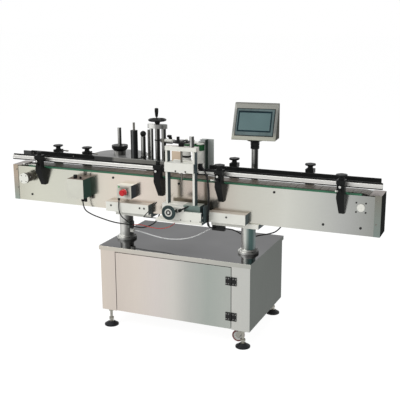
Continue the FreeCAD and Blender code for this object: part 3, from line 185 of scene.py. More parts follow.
class Shader:
    """A material's node tree with short calls for the nodes that it uses."""

    def __init__(self, name):
        self.material = bpy.data.materials.new(name)
        self.material.use_nodes = True
        self.tree = self.material.node_tree
        self.surface = self.tree.nodes["Principled BSDF"]
        self.place = self.add("ShaderNodeTexCoord").outputs["Object"]

    def add(self, kind, **values):
        node = self.tree.nodes.new(kind)
        for key, value in values.items():
            setattr(node, key, value)
        return node

    def link(self, source, target):
        self.tree.links.new(source, target)

    def stretched(self, scale):
        """Object coordinates scaled by three numbers."""
        mapping = self.add("ShaderNodeMapping")
        mapping.inputs["Scale"].default_value = scale
        self.link(self.place, mapping.inputs["Vector"])
        return mapping.outputs["Vector"]

    def noise(self, scale, detail=3.0, stretch=None):
        """Noise value between 0 and 1."""
        node = self.add("ShaderNodeTexNoise")
        node.inputs["Scale"].default_value = scale
        node.inputs["Detail"].default_value = detail
        self.link(self.stretched(stretch) if stretch else self.place, node.inputs["Vector"])
        return node.outputs["Fac"]

    def math(self, operation, first, second):
        """Sum, product or other operation; a number or a socket on each side."""
        node = self.add("ShaderNodeMath", operation=operation)
        for place, value in zip(node.inputs, (first, second)):
            if isinstance(value, (int, float)):
                place.default_value = value
            else:
                self.link(value, place)
        return node.outputs[0]

    def ramp(self, value, low, high, start=0.3, end=0.7):
        """Colours or greys between two ends."""
        return self.bands(value, ((start, low), (end, high)))

    def bands(self, value, stops):
        """Colours between several (position, colour) stops."""
        node = self.add("ShaderNodeValToRGB")
        elements = node.color_ramp.elements
        while len(elements) < len(stops):
            elements.new(0.5)
        for element, stop in zip(elements, stops):
            element.position = stop[0]
        for element, stop in zip(elements, stops):
            element.color = colour(stop[1])
        self.link(value, node.inputs["Fac"])
        return node.outputs["Color"]

    def along(self, axis, low, high):
        """0 to 1 between two places on an axis, in millimetres of the row frame."""
        parts = self.add("ShaderNodeSeparateXYZ")
        self.link(self.place, parts.inputs["Vector"])
        spread = self.add("ShaderNodeMapRange")
        spread.inputs["From Min"].default_value = low * millimetre
        spread.inputs["From Max"].default_value = high * millimetre
        self.link(parts.outputs[axis.upper()], spread.inputs["Value"])
        return spread.outputs["Result"]

    def tones(self, axis, stops, wave=0.0):
        """Tones between places on an axis: stops hold the place in mm and one or three values."""
        low = stops[0][0]
        high = stops[-1][0]
        position = self.along(axis, low, high)
        if wave:
            drift = self.math("MULTIPLY", self.math("SUBTRACT", self.noise(3.0, 2.0), 0.5), wave)
            position = self.math("ADD", position, drift)
        shares = [((place - low) / (high - low), tone(*values)) for place, *values in stops]
        return self.bands(position, shares)

    def multiplied(self, first, second, share):
        """First colour times part of the second."""
        mix = self.add("ShaderNodeMix", data_type="RGBA", blend_type="MULTIPLY")
        mix.inputs["Factor"].default_value = share
        self.link(first, mix.inputs["A"])
        self.link(second, mix.inputs["B"])
        return mix.outputs["Result"]

    def bump(self, value, strength, distance=0.0002):
        """Fine relief."""
        node = self.add("ShaderNodeBump")
        node.inputs["Strength"].default_value = strength
        node.inputs["Distance"].default_value = distance
        self.link(value, node.inputs["Height"])
        self.link(node.outputs["Normal"], self.surface.inputs["Normal"])

    def finish(self, hue, rough, **values):
        """Material with a colour, a roughness and constant values."""
        self.link(hue, self.surface.inputs["Base Color"])
        self.link(rough, self.surface.inputs["Roughness"])
        return self.set(**values)

    def set(self, **values):
        for key, value in values.items():
            self.surface.inputs[key.replace("_", " ")].default_value = value
        return self.material


grains = {"x": (1.0, 60.0, 60.0), "y": (60.0, 1.0, 60.0), "z": (60.0, 60.0, 1.0)}


def finish_sheet(shader, clouds, grain, rough, relief=0.1, edge=1.0):
    """Brushed lines over a sheet's tone; edge is how bright it gets at a flat angle."""
    fine = shader.noise(14.0, 5.0, grains[grain])
    lines = shader.ramp(fine, 0.88, 1.0, 0.25, 0.75)
    shader.bump(fine, relief)
    return shader.finish(
        shader.multiplied(clouds, lines, 0.6), shader.ramp(fine, *rough),
        Metallic=1.0, Specular_Tint=colour(edge))


def brushed(name, tint, grain, rough, edge=1.0, cloud=0.1, relief=0.1):
    """Sheet metal with a grain along one axis and slow clouds in its tone."""
    shader = Shader(name)
    clouds = shader.ramp(shader.noise(2.2, 2.0), shade(tone(*tint), 1 - cloud), shade(tone(*tint), 1 + cloud))
    return finish_sheet(shader, clouds, grain, rough, relief, edge)


def graded(name, axis, stops, grain, rough):
    """Sheet metal whose tone drifts along an axis, as painted light, shade and reflection."""
    shader = Shader(name)
    return finish_sheet(shader, shader.tones(axis, stops, 0.05), grain, rough)


def barred(name, middle_x, stops, rough=(0.24, 0.34)):
    """Steel tube whose tone runs across it, as the room's light and dark sides lie on it."""
    shader = Shader(name)
    across = [(middle_x + place, *values) for place, *values in stops]
    return finish_sheet(shader, shader.tones("x", across), "z", rough)


def bar(name, middle_x, radius, level=1.0):
    """Ground bar: painted shade at both sides with a painted highlight left of its middle."""
    greys = ((-1.0, 58), (-0.66, 120), (-0.3, 214), (0.05, 200), (0.4, 120), (0.7, 58), (1.0, 40))
    return barred(name, middle_x, [(share * radius, level * grey) for share, grey in greys])


def mottled(name, low, high, rough, patches, skin=None, **values):
    """Surface that wanders between two tones; patches and skin are noise scales, skin's with its relief."""
    shader = Shader(name)
    slow = shader.noise(*patches)
    if skin:
        shader.bump(shader.noise(skin[0], 2.0), skin[1])
    return shader.finish(shader.ramp(slow, low, high), shader.ramp(slow, *rough), **values)


def bright(name, tint, rough=(0.1, 0.2)):
    """Ground and polished bar or plating with turning marks."""
    plated = tone(*tint)
    return mottled(name, shade(plated, 0.88), plated, rough, (40.0, 4.0, (1.0, 1.0, 14.0)), Metallic=1.0)


def moulded(name, tint, gloss=0.5, rough=(0.35, 0.45), grain=900.0, relief=0.12):
    """Moulded plastic or rubber with a fine skin; gloss is the strength of its reflections."""
    low, high = [shade(tone(*tint), factor) for factor in (0.82, 1.18)]
    return mottled(name, low, high, rough, (18.0, 3.0), (grain, relief), Specular_IOR_Level=gloss)


def coated(name, tint, gloss=0.5, rough=(0.4, 0.5), spread=0.05):
    """Painted or anodised surface with faint handling marks."""
    low, high = [shade(tone(*tint), factor) for factor in (1 - spread, 1 + spread)]
    return mottled(name, low, high, rough, (9.0, 4.0), (420.0, 0.06), Specular_IOR_Level=gloss)


def drifting(name, stops, rough, gloss):
    """Plastic or paint whose tone changes along the conveyor; some of these carry painted light and shade."""
    shader = Shader(name)
    mottle = shader.ramp(shader.noise(26.0, 4.0), 0.84, 1.0)
    return shader.finish(
        shader.multiplied(shader.tones("x", stops), mottle, 0.7),
        shader.ramp(shader.noise(40.0, 3.0), *rough), Specular_IOR_Level=gloss)


def sponge():
    """Open-cell foam pad."""
    shader = Shader("sponge")
    voronoi = shader.add("ShaderNodeTexVoronoi")
    voronoi.inputs["Scale"].default_value = 500.0
    shader.link(shader.place, voronoi.inputs["Vector"])
    cells = voronoi.outputs["Distance"]
    shader.bump(cells, 0.7, 0.0006)
    return shader.finish(
        shader.ramp(cells, (0.5, 0.48, 0.43), (0.75, 0.73, 0.68)), shader.ramp(cells, 0.8, 0.95))


looks = {
    "glass": mottled(
        "screen_glass", tone(62, 84, 86), tone(74, 97, 98), (0.25, 0.35), (6.0, 1.0), Specular_IOR_Level=0.3),
    "milky": mottled("clear_tube", tone(196, 198, 198), tone(220, 221, 221), (0.2, 0.34), (60.0, 2.0)),
    "foam": sponge(),
}


def add_looks(kind, rows):
    """Materials of one kind, each kept under its name."""
    for name, row in rows.items():
        looks[name] = kind(name, *row)


# Sheets with painted light, shade and reflections drifting along an axis: axis, stops, grain and roughness
add_looks(graded, {
    "steel_door": ("x", (
        (-330, 202, 192, 183), (-200, 208, 199, 190), (-90, 206, 199, 194), (10, 200, 197, 191),
        (100, 175, 176, 171), (200, 160, 166, 160), (320, 168, 172, 166)), "z", (0.3, 0.42)),
    "steel_stiles": ("x", (
        (-400, 207, 197, 186), (-310, 204, 194, 185), (330, 188, 188, 183), (420, 186, 187, 182)),
        "z", (0.3, 0.42)),
    "steel_lip": ("x", ((-400, 195, 189, 178), (0, 189, 186, 178), (420, 168, 169, 162)), "x", (0.3, 0.4)),
    "steel_panel": ("x", (
        (-1000, 190, 188, 174), (-860, 206, 206, 192), (-620, 204, 204, 192), (-380, 214, 205, 192),
        (-250, 218, 206, 195), (-20, 200, 192, 180), (110, 172, 158, 148), (340, 192, 190, 180),
        (560, 202, 202, 194), (700, 187, 188, 182), (820, 170, 171, 168), (1000, 138, 140, 135)),
        "x", (0.17, 0.24)),
    "steel_caps": ("z", ((604, 123, 134, 129), (690, 127, 133, 127), (800, 125, 123, 114)), "x", (0.2, 0.3)),
    "steel_cap_left": ("z", (
        (604, 148, 160, 152), (680, 160, 156, 144), (740, 178, 164, 148), (800, 172, 158, 140)),
        "x", (0.2, 0.3)),
    "steel_case": ("z", (
        (994, 136, 136, 126), (1012, 130, 130, 121), (1034, 106, 107, 104), (1130, 104, 105, 102),
        (1142, 118, 118, 113), (1160, 118, 118, 113), (1166, 84, 84, 80)), "x", (0.42, 0.52)),
})

# Sheets of one tone: tint, grain, roughness, edge, cloud and relief
add_looks(brushed, {
    "steel_rear": ((176, 174, 168), "x", (0.25, 0.35)),
    # The mirror top's dark tint is a painted dark reflection.
    "steel_mirror": ((128, 128, 129), "x", (0.02, 0.05), 0.6, 0.18, 0.01),
    # Painted shade on the cabinet's right sides.
    "steel_side": ((118, 122, 118), "z", (0.3, 0.4), 0.5, 0.06),
    # Painted shade on the right-facing ends of the end caps.
    "steel_end": ((62, 67, 64), "z", (0.3, 0.4), 0.12, 0.06),
    # Painted brown shade on the end caps' top faces.
    "steel_brown": ((120, 110, 104), "y", (0.25, 0.35)),
    "case_side": ((104, 104, 98), "z", (0.34, 0.44), 0.3, 0.05),
    "rail_silver": ((200, 199, 195), "x", (0.34, 0.42), 1.0, 0.02, 0.0),
})

# Round bars and tubes with painted light and shade across them: middle, stops across and roughness
flange_tones = (
    (-52, 170), (-40, 224), (-30, 243), (-15, 238), (-2, 212), (8, 176), (16, 143), (24, 115), (34, 92),
    (44, 78), (52, 66))
add_looks(barred, {
    "flange_left": (column_x[0], flange_tones, (0.4, 0.5)),
    "flange_right": (column_x[1], flange_tones, (0.4, 0.5)),
    "tube_left": (column_x[0], (
        (-36, 151), (-24, 179), (-14, 200), (-4, 211), (4, 197), (10, 166), (16, 134), (22, 108), (28, 90),
        (36, 70)), (0.34, 0.44)),
    "tube_right": (column_x[1], (
        (-36, 206, 203, 199), (-20, 226, 224, 219), (-6, 208, 210, 203), (6, 140, 150, 146),
        (16, 76, 96, 94), (28, 66, 86, 84), (36, 112, 122, 122)), (0.34, 0.44)),
    "bar_screw": (mast[0], (
        (-13.5, 214), (-8, 214), (-2, 160), (2.7, 83), (5.3, 45), (10.8, 55), (13.5, 118))),
    "bar_hub": (unwind[0], (
        (-32, 150), (-20, 168), (-16, 228), (-5, 218), (0, 172), (5.5, 126), (11, 88), (17, 84), (26, 67),
        (32, 84)), (0.3, 0.4)),
    "crown_steel": (mast[0], (
        (-58, 158), (-44, 204), (-32, 224), (-12, 196), (0, 133), (24, 111), (38, 71), (46, 108), (58, 125)),
        (0.34, 0.44)),
    "bar_pole": (pole[0], (
        (-16.8, 60), (-12.6, 85), (-8.4, 186), (0, 176), (3.4, 108), (6.7, 55), (13.4, 46), (16.8, 89))),
})
add_looks(bar, {
    "bar_left": (-255.0, 9.5),
    "bar_right": (-183.0, 12.0, 0.72),
    "bar_spindle": (unwind[0], 10.5, 0.9),
    "bar_guide": (guide_post[0], 9.0, 0.75),
    "bar_roller": (ball_place[0], 12.0, 0.85),
    "bar_post": (post[0], 11.0, 0.95),
})
add_looks(bright, {
    "chrome": ((196, 196, 192),),
    "chrome_dark": ((112, 110, 104), (0.14, 0.24)),
    "zinc": ((150, 148, 140), (0.2, 0.34)),
    "hinge_screw": ((150, 150, 147), (0.25, 0.35)),
})

# Paint: tint, gloss, roughness and spread of its tone
add_looks(coated, {
    "bearing_shade": ((74, 70, 64), 0.2),
    "satin_white": ((206, 206, 198), 0.5),
    "satin_grey": ((144, 146, 144), 0.3),
    "satin_pale": ((188, 188, 182), 0.3, (0.35, 0.45)),
    # A slate-dark slab, and painted shade on right faces of the saddles, wrap base, carriage and block.
    "satin_slate": ((58, 70, 72), 0.12),
    "satin_box": ((186, 186, 175), 0.5, (0.35, 0.45)),
    # Painted shade on the carriage top plate's top and right faces.
    "portal_white": ((176, 171, 164), 0.5, (0.35, 0.45)),
    # Painted shade on the saddle blocks' top faces.
    "block_top": ((172, 163, 152), 0.3),
    "guard_grey": ((138, 143, 140), 0.5),
    # Painted shade on the guard's inner side, with a green painted reflection.
    "guard_inner": ((20, 36, 28), 0.2, (0.5, 0.6)),
    # Painted shade on the guard's top faces.
    "guard_top": ((124, 127, 125), 0.1, (0.5, 0.6)),
    # Painted shade on the control box's top.
    "box_lid": ((92, 80, 72), 0.1, (0.5, 0.6), 0.08),
    # Painted shade with a green painted reflection on the control box's right side.
    "dark_green": ((30, 58, 50), 0.1),
    # Painted shade on the stop box's right side.
    "stop_navy": ((34, 42, 50), 0.1),
    "black_paint": ((20, 21, 21), 0.1, (0.36, 0.46)),
    "screw_black": ((26, 26, 25), 0.25, (0.34, 0.44)),
    "hinge_black": ((24, 24, 24), 0.2),
    "disc_grey": ((88, 88, 87), 0.5, (0.34, 0.44)),
    "wheel_grey": ((190, 190, 186), 0.5),
    "beige_plate": ((206, 186, 164), 0.5, (0.3, 0.4)),
})

# Plastic and rubber: tint, gloss, roughness, skin and relief
add_looks(moulded, {
    "black_plastic": ((20, 21, 21), 0.1, (0.34, 0.46)),
    "black_rubber": ((24, 25, 28), 0.2, (0.45, 0.58), 600.0, 0.2),
    "strip_green": ((42, 96, 70), 0.3, (0.4, 0.5)),
    "belt_green": ((10, 64, 30), 0.2, (0.55, 0.7), 500.0, 0.3),
    "bezel_blue": ((60, 72, 74), 0.15),
    "bezel_line": ((76, 90, 91), 0.15),
    "bezel_dark": ((16, 34, 40), 0.08, (0.3, 0.4)),
    "red_plastic": ((184, 26, 34), 0.35, (0.24, 0.34)),
    "green_lamp": ((50, 160, 90), 0.5, (0.15, 0.25)),
    "tread_maroon": ((104, 52, 50), 0.5, (0.45, 0.6)),
    "wheel_teal": ((44, 58, 58), 0.15, (0.34, 0.46)),
    "cable_black": ((24, 24, 25), 0.2, (0.42, 0.55), 700.0, 0.15),
    "wire_red": ((176, 56, 48), 0.5, (0.35, 0.45), 700.0, 0.15),
})

# Surfaces whose tone changes along the conveyor: stops, roughness and gloss
add_looks(drifting, {
    "satin_teal": (
        ((-60, 214, 213, 206), (60, 212, 212, 205), (64, 100, 118, 112), (160, 96, 114, 108)),
        (0.35, 0.45), 0.5),
    "clip_coat": (
        ((-330, 120, 124, 120), (-302, 110, 114, 110), (-298, 24, 25, 25), (240, 24, 25, 25)),
        (0.4, 0.5), 0.2),
    # The slats' own brown, with painted shade darkest at the infeed end and deepening towards the far end.
    "slat_brown": ((
        (-1000, 66, 66, 60), (-520, 66, 64, 58), (-400, 92, 84, 76), (-280, 110, 100, 90), (-60, 106, 98, 89),
        (250, 102, 93, 85), (560, 92, 87, 80), (1000, 86, 83, 77)), (0.34, 0.46), 0.2),
    # Painted sheen on the rear left rail's black insert, lighter in its right part.
    "insert_grey": (
        ((-1000, 62, 63, 63), (-440, 58, 59, 58), (-424, 122, 121, 117), (-90, 112, 112, 108)),
        (0.4, 0.5), 0.2),
    # Black rubber with a painted highlight left of the roller's middle.
    "roller_rubber": ((
        (-366.6, 28, 29, 30), (-353.5, 32, 33, 34), (-351, 88, 89, 90), (-344.5, 78, 79, 80),
        (-341, 30, 31, 32), (-328.4, 16, 17, 19)), (0.45, 0.58), 0.1),
})


# Free cords: the same routes as in the part's source, in millimetres

cords = {
    "box_cable": (6.5, 0.523, "cable_black", "cable_black", "medium", [
        (-542, -95, 640), (-541, -95, 599), (-500, -92, 574), (-440, -78, 552), (-372, -59, 531),
        (-303, -44, 526), (-234, -48, 514), (-176, -58, 532), (-130, -54, 562), (-118, -47, 604)]),
    "stop_cable": (5.5, 0.164, "cable_black", "cable_black", "medium", [
        (-322, -101, 668), (-322, -108, 644), (-319, -109, 604), (-311, -88, 570), (-301, -40.4, 535)]),
    "red_wire": (4.0, 0.319, "wire_red", "wire_red", "limp", [
        (-284, -30, 521), (-246, -42, 532), (-200, -58, 534), (-150, -70, 531),
        (-98, -78, 533), (-50, -80, 547), (-14, -82, 572), (-3, -80, 603)]),
    "air_tube": (6.0, 0.483, "milky", "tube_clear", "medium", [
        (-286, -12, 488), (-248, -20, 487), (-200, -34, 484), (-142, -48, 479), (-72, -58, 476),
        (0, -62, 483), (68, -60, 500), (125, -54, 530), (172, -42, 560)]),
    "belt_cable": (7.0, 0.375, "cable_black", "cable_black", "medium", [
        (142, -103, 879), (161, -113, 861), (178, -122, 828), (185, -125, 780), (187, -126, 728),
        (184, -125, 676), (178, -121, 628), (174, -108, 590), (178, -80, 566), (190, -50, 562)]),
    "link_cable": (6.5, 0.376, "cable_black", "cable_black", "medium", [
        (238, -40, 560), (266, -33, 559), (290, -4, 541), (304, 36, 512), (342, 57, 500),
        (392, 54, 518), (440, 44, 532), (488, 43, 553), (520, 45, 604)]),
}
wrap_span = (42.0, 318.0)
wrap_pitch = 7.0
wrap_reach = 4.7
wrap_radius = 1.5


def smooth_line(name, places, radius, steps, rings, look):
    """Cord of a radius in millimetres along places in metres."""
    data = bpy.data.curves.new(name, "CURVE")
    data.dimensions = "3D"
    data.bevel_depth = radius * millimetre
    data.bevel_resolution = rings
    data.resolution_u = steps
    spline = data.splines.new("NURBS")
    spline.points.add(len(places) - 1)
    for point, place in zip(spline.points, places):
        point.co = (*place, 1.0)
    spline.order_u = 3
    spline.use_endpoint_u = True
    data.materials.append(looks[look])
    return placed(name, data)


def make_cords():
    """Each cord as one smooth spline over its route."""
    for name, (diameter, length, look, slot, stiffness, route) in cords.items():
        places = [at(*place) for place in route]
        cord = smooth_line(name + "_line", places, diameter / 2, 10, 5, look)
        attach(cord, "stand")
        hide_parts(name)
        [wind_wrap(cord)] if name == "belt_cable" else []


def wind_wrap(cord):
    """Spiral wrap round the upright run of the belt unit's cable."""
    bare = cord.data.copy()
    bare.bevel_depth = 0.0
    line = placed("belt_cable_path", bare)
    mesh = bpy.data.meshes.new_from_object(line.evaluated_get(bpy.context.evaluated_depsgraph_get()))
    path = [vertex.co.copy() for vertex in mesh.vertices]
    bpy.data.objects.remove(line)
    bpy.data.meshes.remove(mesh)
    travelled = [0.0]
    for start, end in zip(path, path[1:]):
        travelled.append(travelled[-1] + (end - start).length)
    first, last = [end * millimetre for end in wrap_span]
    pitch = wrap_pitch * millimetre
    per_turn = 14
    spiral = []
    step = 0
    for number in range(int((last - first) / pitch * per_turn)):
        distance = first + number * pitch / per_turn
        while travelled[step + 1] < distance:
            step += 1
        part = (distance - travelled[step]) / (travelled[step + 1] - travelled[step])
        direction = (path[step + 1] - path[step]).normalized()
        side = direction.cross(Vector((1, 0, 0))).normalized()
        angle = 2 * math.pi * number / per_turn
        out = side * math.cos(angle) + direction.cross(side) * math.sin(angle)
        spiral.append(path[step].lerp(path[step + 1], part) + out * wrap_reach * millimetre)
    wrap = smooth_line("cable_wrap", spiral, wrap_radius, 2, 2, "cable_black")
    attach(wrap, "stand")
    return wrap


# Carried-over nodes


def finish_edges(thing, width, angle=35.0):
    """Weld the mesh, round its edges a little and shade it smoothly."""
    for polygon in thing.data.polygons:
        polygon.use_smooth = True
    weld = thing.modifiers.new("weld", "WELD")
    weld.merge_threshold = 0.00001
    bevel = thing.modifiers.new("edges", "BEVEL")
    bevel.width = width * millimetre
    bevel.segments = 2
    bevel.limit_method = "ANGLE"
    bevel.angle_limit = math.radians(angle)
    bevel.harden_normals = True
    bevel.use_clamp_overlap = True


def dress(name, materials, choose=None, width=0.6):
    """Give a CAD node its materials; choose(x, y, z, normal) names one by index for each face."""
    node = nodes[name]
    if "custom_normal" in node.data.attributes:
        node.data.attributes.remove(node.data.attributes["custom_normal"])
    node.data.materials.clear()
    for material in materials:
        node.data.materials.append(looks[material])
    if choose:
        for polygon in node.data.polygons:
            spot = polygon.center / millimetre
            polygon.material_index = int(choose(spot.x, spot.y - conveyor_y, spot.z, polygon.normal))
    if width:
        finish_edges(node, width)


def off(first, second, place):
    """Distance from a place in the plane of two coordinates."""
    return math.hypot(first - place[0], second - place[1])


def dress_stand():
    """Cabinet, feet and conveyor."""
    # Cabinet: painted shade on the right sides, a painted dark reflection on the mirror top, and painted light
    # and shade drifting across the stiles, lip and door.
    dress("cabinet_shell", ["steel_stiles", "steel_side", "zinc"],
          lambda x, y, z, n: 1 if n.x > 0.9 and x > 417 else (2 if n.y > 0.9 or n.x < -0.9 else 0), 0.8)
    dress("cabinet_top", ["steel_lip", "steel_mirror", "steel_side"],
          lambda x, y, z, n: 1 if n.z > 0.9 else (2 if n.x > 0.9 else 0), 0.8)
    dress("cabinet_door", ["steel_door", "hinge_black"], lambda x, y, z, n: y < -173.6, 0.8)
    dress("door_hinges", ["hinge_black"], None, 0.4)
    dress("levelling_feet", ["zinc", "black_rubber"],
          lambda x, y, z, n: z < 22.1 and abs(n.z) < 0.98 or z < 7)
    dress("electrical_plate", ["satin_box", "satin_pale"], lambda x, y, z, n: y > 334.9, 0.8)
    # Side panels: painted reflections and shade drift along the conveyor.
    dress("side_panels", ["steel_panel", "steel_rear"], lambda x, y, z, n: y > 0, 0)
    dress("cross_bars", ["zinc", "screw_black"], lambda x, y, z, n: abs(y) > 55, 0.5)
    # End caps: painted reflections graded by height, and painted shade on the right-facing ends and the top
    # faces.
    dress("end_caps", ["steel_caps", "steel_end", "steel_brown", "steel_cap_left"],
          lambda x, y, z, n: 1 if n.x > 0.9 else (2 if n.z > 0.9 and z > 797 else (3 if x < 0 else 0)))
    dress("wear_strips", ["strip_green"], None, 0.8)
    dress("shaft_bearings", ["satin_pale", "screw_black", "bearing_shade"], bearing_face, 0.8)
    dress("drive_gearmotor", ["satin_grey"], None, 1.0)
    dress("drive_shaft", ["chrome", "satin_grey"], lambda x, y, z, n: off(x, z, (drive_x, shaft_z)) > 11, 0.5)
    dress("idler_shaft", ["chrome", "satin_grey"], lambda x, y, z, n: off(x, z, (idler_x, shaft_z)) > 11, 0.5)
    dress("rail_brackets", ["black_paint", "satin_white"], lever_face, 1.2)
    for place in ("front", "rear"):
        dress("caster_fork_" + place, ["zinc"])
        dress("caster_wheel_" + place, ["tread_maroon", "wheel_grey"],
              lambda x, y, z, n: off(x, z, (341.5, 42)) < 24, 1.0)


def bearing_face(x, y, z, normal):
    """Bearings: shaded neck at the left, black block at the right, else pale."""
    if x < 0 and -107 < y < -57:
        return 2
    return x > 0 and y < -55 and off(x, z, (drive_x, shaft_z)) > 20


def lever_face(x, y, z, normal):
    """Brackets: pale round ends of the clamp levers."""
    return abs(y) > 113 and abs(z - 818) < 4.7 and any(abs(x - tip) < 7 for tip in lever_tips)


def dress_boxes():
    """Control boxes and cable fittings."""
    # Control box: painted shade on its top, and painted shade with a green painted reflection on its right side.
    dress("control_box", ["satin_box", "dark_green", "black_plastic", "box_lid"],
          lambda x, y, z, n: 2 if z > 763.1 or z < 660.9 else (1 if n.x > 0.5 else (3 if n.z > 0.5 else 0)),
          1.5)
    dress("control_knob", ["black_plastic"], None, 1.0)
    dress("stop_box", ["satin_box", "stop_navy", "green_lamp", "black_plastic"], stop_face, 1.5)
    dress("stop_button", ["red_plastic"], None, 1.0)
    dress("panel_pole", ["bar_pole", "black_paint"],
          lambda x, y, z, n: z < 741 and abs(x - pole[0]) > 14.5, 0.8)
    dress("cable_fittings", ["clip_coat", "satin_pale"], lambda x, y, z, n: z < 499, 1.0)


def stop_face(x, y, z, normal):
    """Stop box: gland, painted shade on its side, lamp or front."""
    if z < 680.9:
        return 3
    if normal.x > 0.5:
        return 1
    return 2 if x < -310 and y < -108 and z > 730 else 0


def dress_stations():
    """Wrap station, belt unit and label head."""
    # Wrap station: a slate slab and painted shade on right faces; the carriage's top plate has painted shade on
    # its top and right faces.
    dress("wrap_base", ["satin_white", "satin_slate"],
          lambda x, y, z, n: x > 165.9 and z > 615 or n.x > 0.5, 0.8)
    dress("wrap_carriage", ["satin_white", "satin_teal", "bar_post", "satin_slate", "portal_white"],
          carriage_face, 1.0)
    dress("wrap_block", ["satin_white", "foam", "satin_pale", "satin_slate"],
          lambda x, y, z, n: 1 if y > -58.1 and n.y > -0.5 else (3 if n.x > 0.5 else 0), 0.8)
    dress("wrap_lift_wheel", ["black_plastic", "chrome_dark"],
          lambda x, y, z, n: off(x, y, lift_screw) < 5.5, 0.8)
    dress("wrap_clamp_lever", ["black_plastic"], None, 0.8)
    dress("belt_unit_frame", ["satin_pale", "guard_grey", "black_paint", "guard_inner", "guard_top"],
          unit_face, 0.8)
    dress("wrap_belt", ["belt_green"], None, 0.4)
    for name in ("belt_drive_roller", "belt_idler_roller"):
        dress(name, ["satin_pale"], None, 0.8)
    dress("head_support", ["bar_left", "satin_grey", "chrome_dark", "bar_right", "crown_steel"],
          support_face, 1.0)
    dress("head_plate", ["satin_grey", "bar_guide", "beige_plate", "black_paint"], plate_part, 0.8)
    dress("unwind_reel", ["disc_grey", "bar_hub", "black_plastic", "bar_spindle"], reel_face, 0.8)
    # Rubber roller: black with a painted highlight.
    dress("rubber_roller", ["roller_rubber", "chrome_dark"],
          lambda x, y, z, n: off(x, y, rubber_roller) < 6.5, 0.8)


def carriage_face(x, y, z, normal):
    """Carriage block, uprights, top plate or post; painted shade on the top plate's top and right faces, and on
    the right faces below it.
    """
    if z > 976.5:
        return 2
    if z > 955.5:
        return 4 if normal.z > 0.5 or normal.x > 0.5 else 0
    if normal.x > 0.5:
        return 3
    return z < 690.5


def unit_face(x, y, z, normal):
    """Belt unit: motor and bracket plate, guard with painted shade on its inner side and at its top, else
    housing.
    """
    if z < 812:
        return 2
    if 89 < x < 95 and normal.x > 0.5:
        return 3
    if z > 975:
        return 4
    return x > 86


def support_face(x, y, z, normal):
    """Mast: crown, foot, clamp, right or left rod."""
    if z > 1008.5:
        return 4
    if z < 708.5:
        return 1
    if 937.5 < z < 957:
        return 2
    return 3 if x > -196 else 0


def plate_part(x, y, z, normal):
    """Label head: motor, peel plate, guide post or plate."""
    if z < 817.5 and x > -159.8:
        return 3
    if 79 < y < 85.05 and x > -107 and z > 828.5:
        return 2
    return off(x, y, guide_post) < 9


def reel_face(x, y, z, normal):
    """Unwind reel: disc, hub, cone or spindle."""
    if z < 835.5:
        return 0
    if z < 857.9:
        return 1
    return 2 if z < 888.5 and off(x, y, unwind) > 11 else 3


# Pieces modelled here


def square_to(axis):
    """Unit axis and two unit vectors square to it."""
    axis = Vector(axis).normalized()
    side = axis.orthogonal().normalized()
    return axis, side, axis.cross(side)


def round_places(middle, radius, count, first):
    """Places on a circle seen from above, from a first angle in degrees."""
    for step in range(count):
        angle = math.radians(first + 360 / count * step)
        yield middle[0] + radius * math.cos(angle), middle[1] + radius * math.sin(angle)


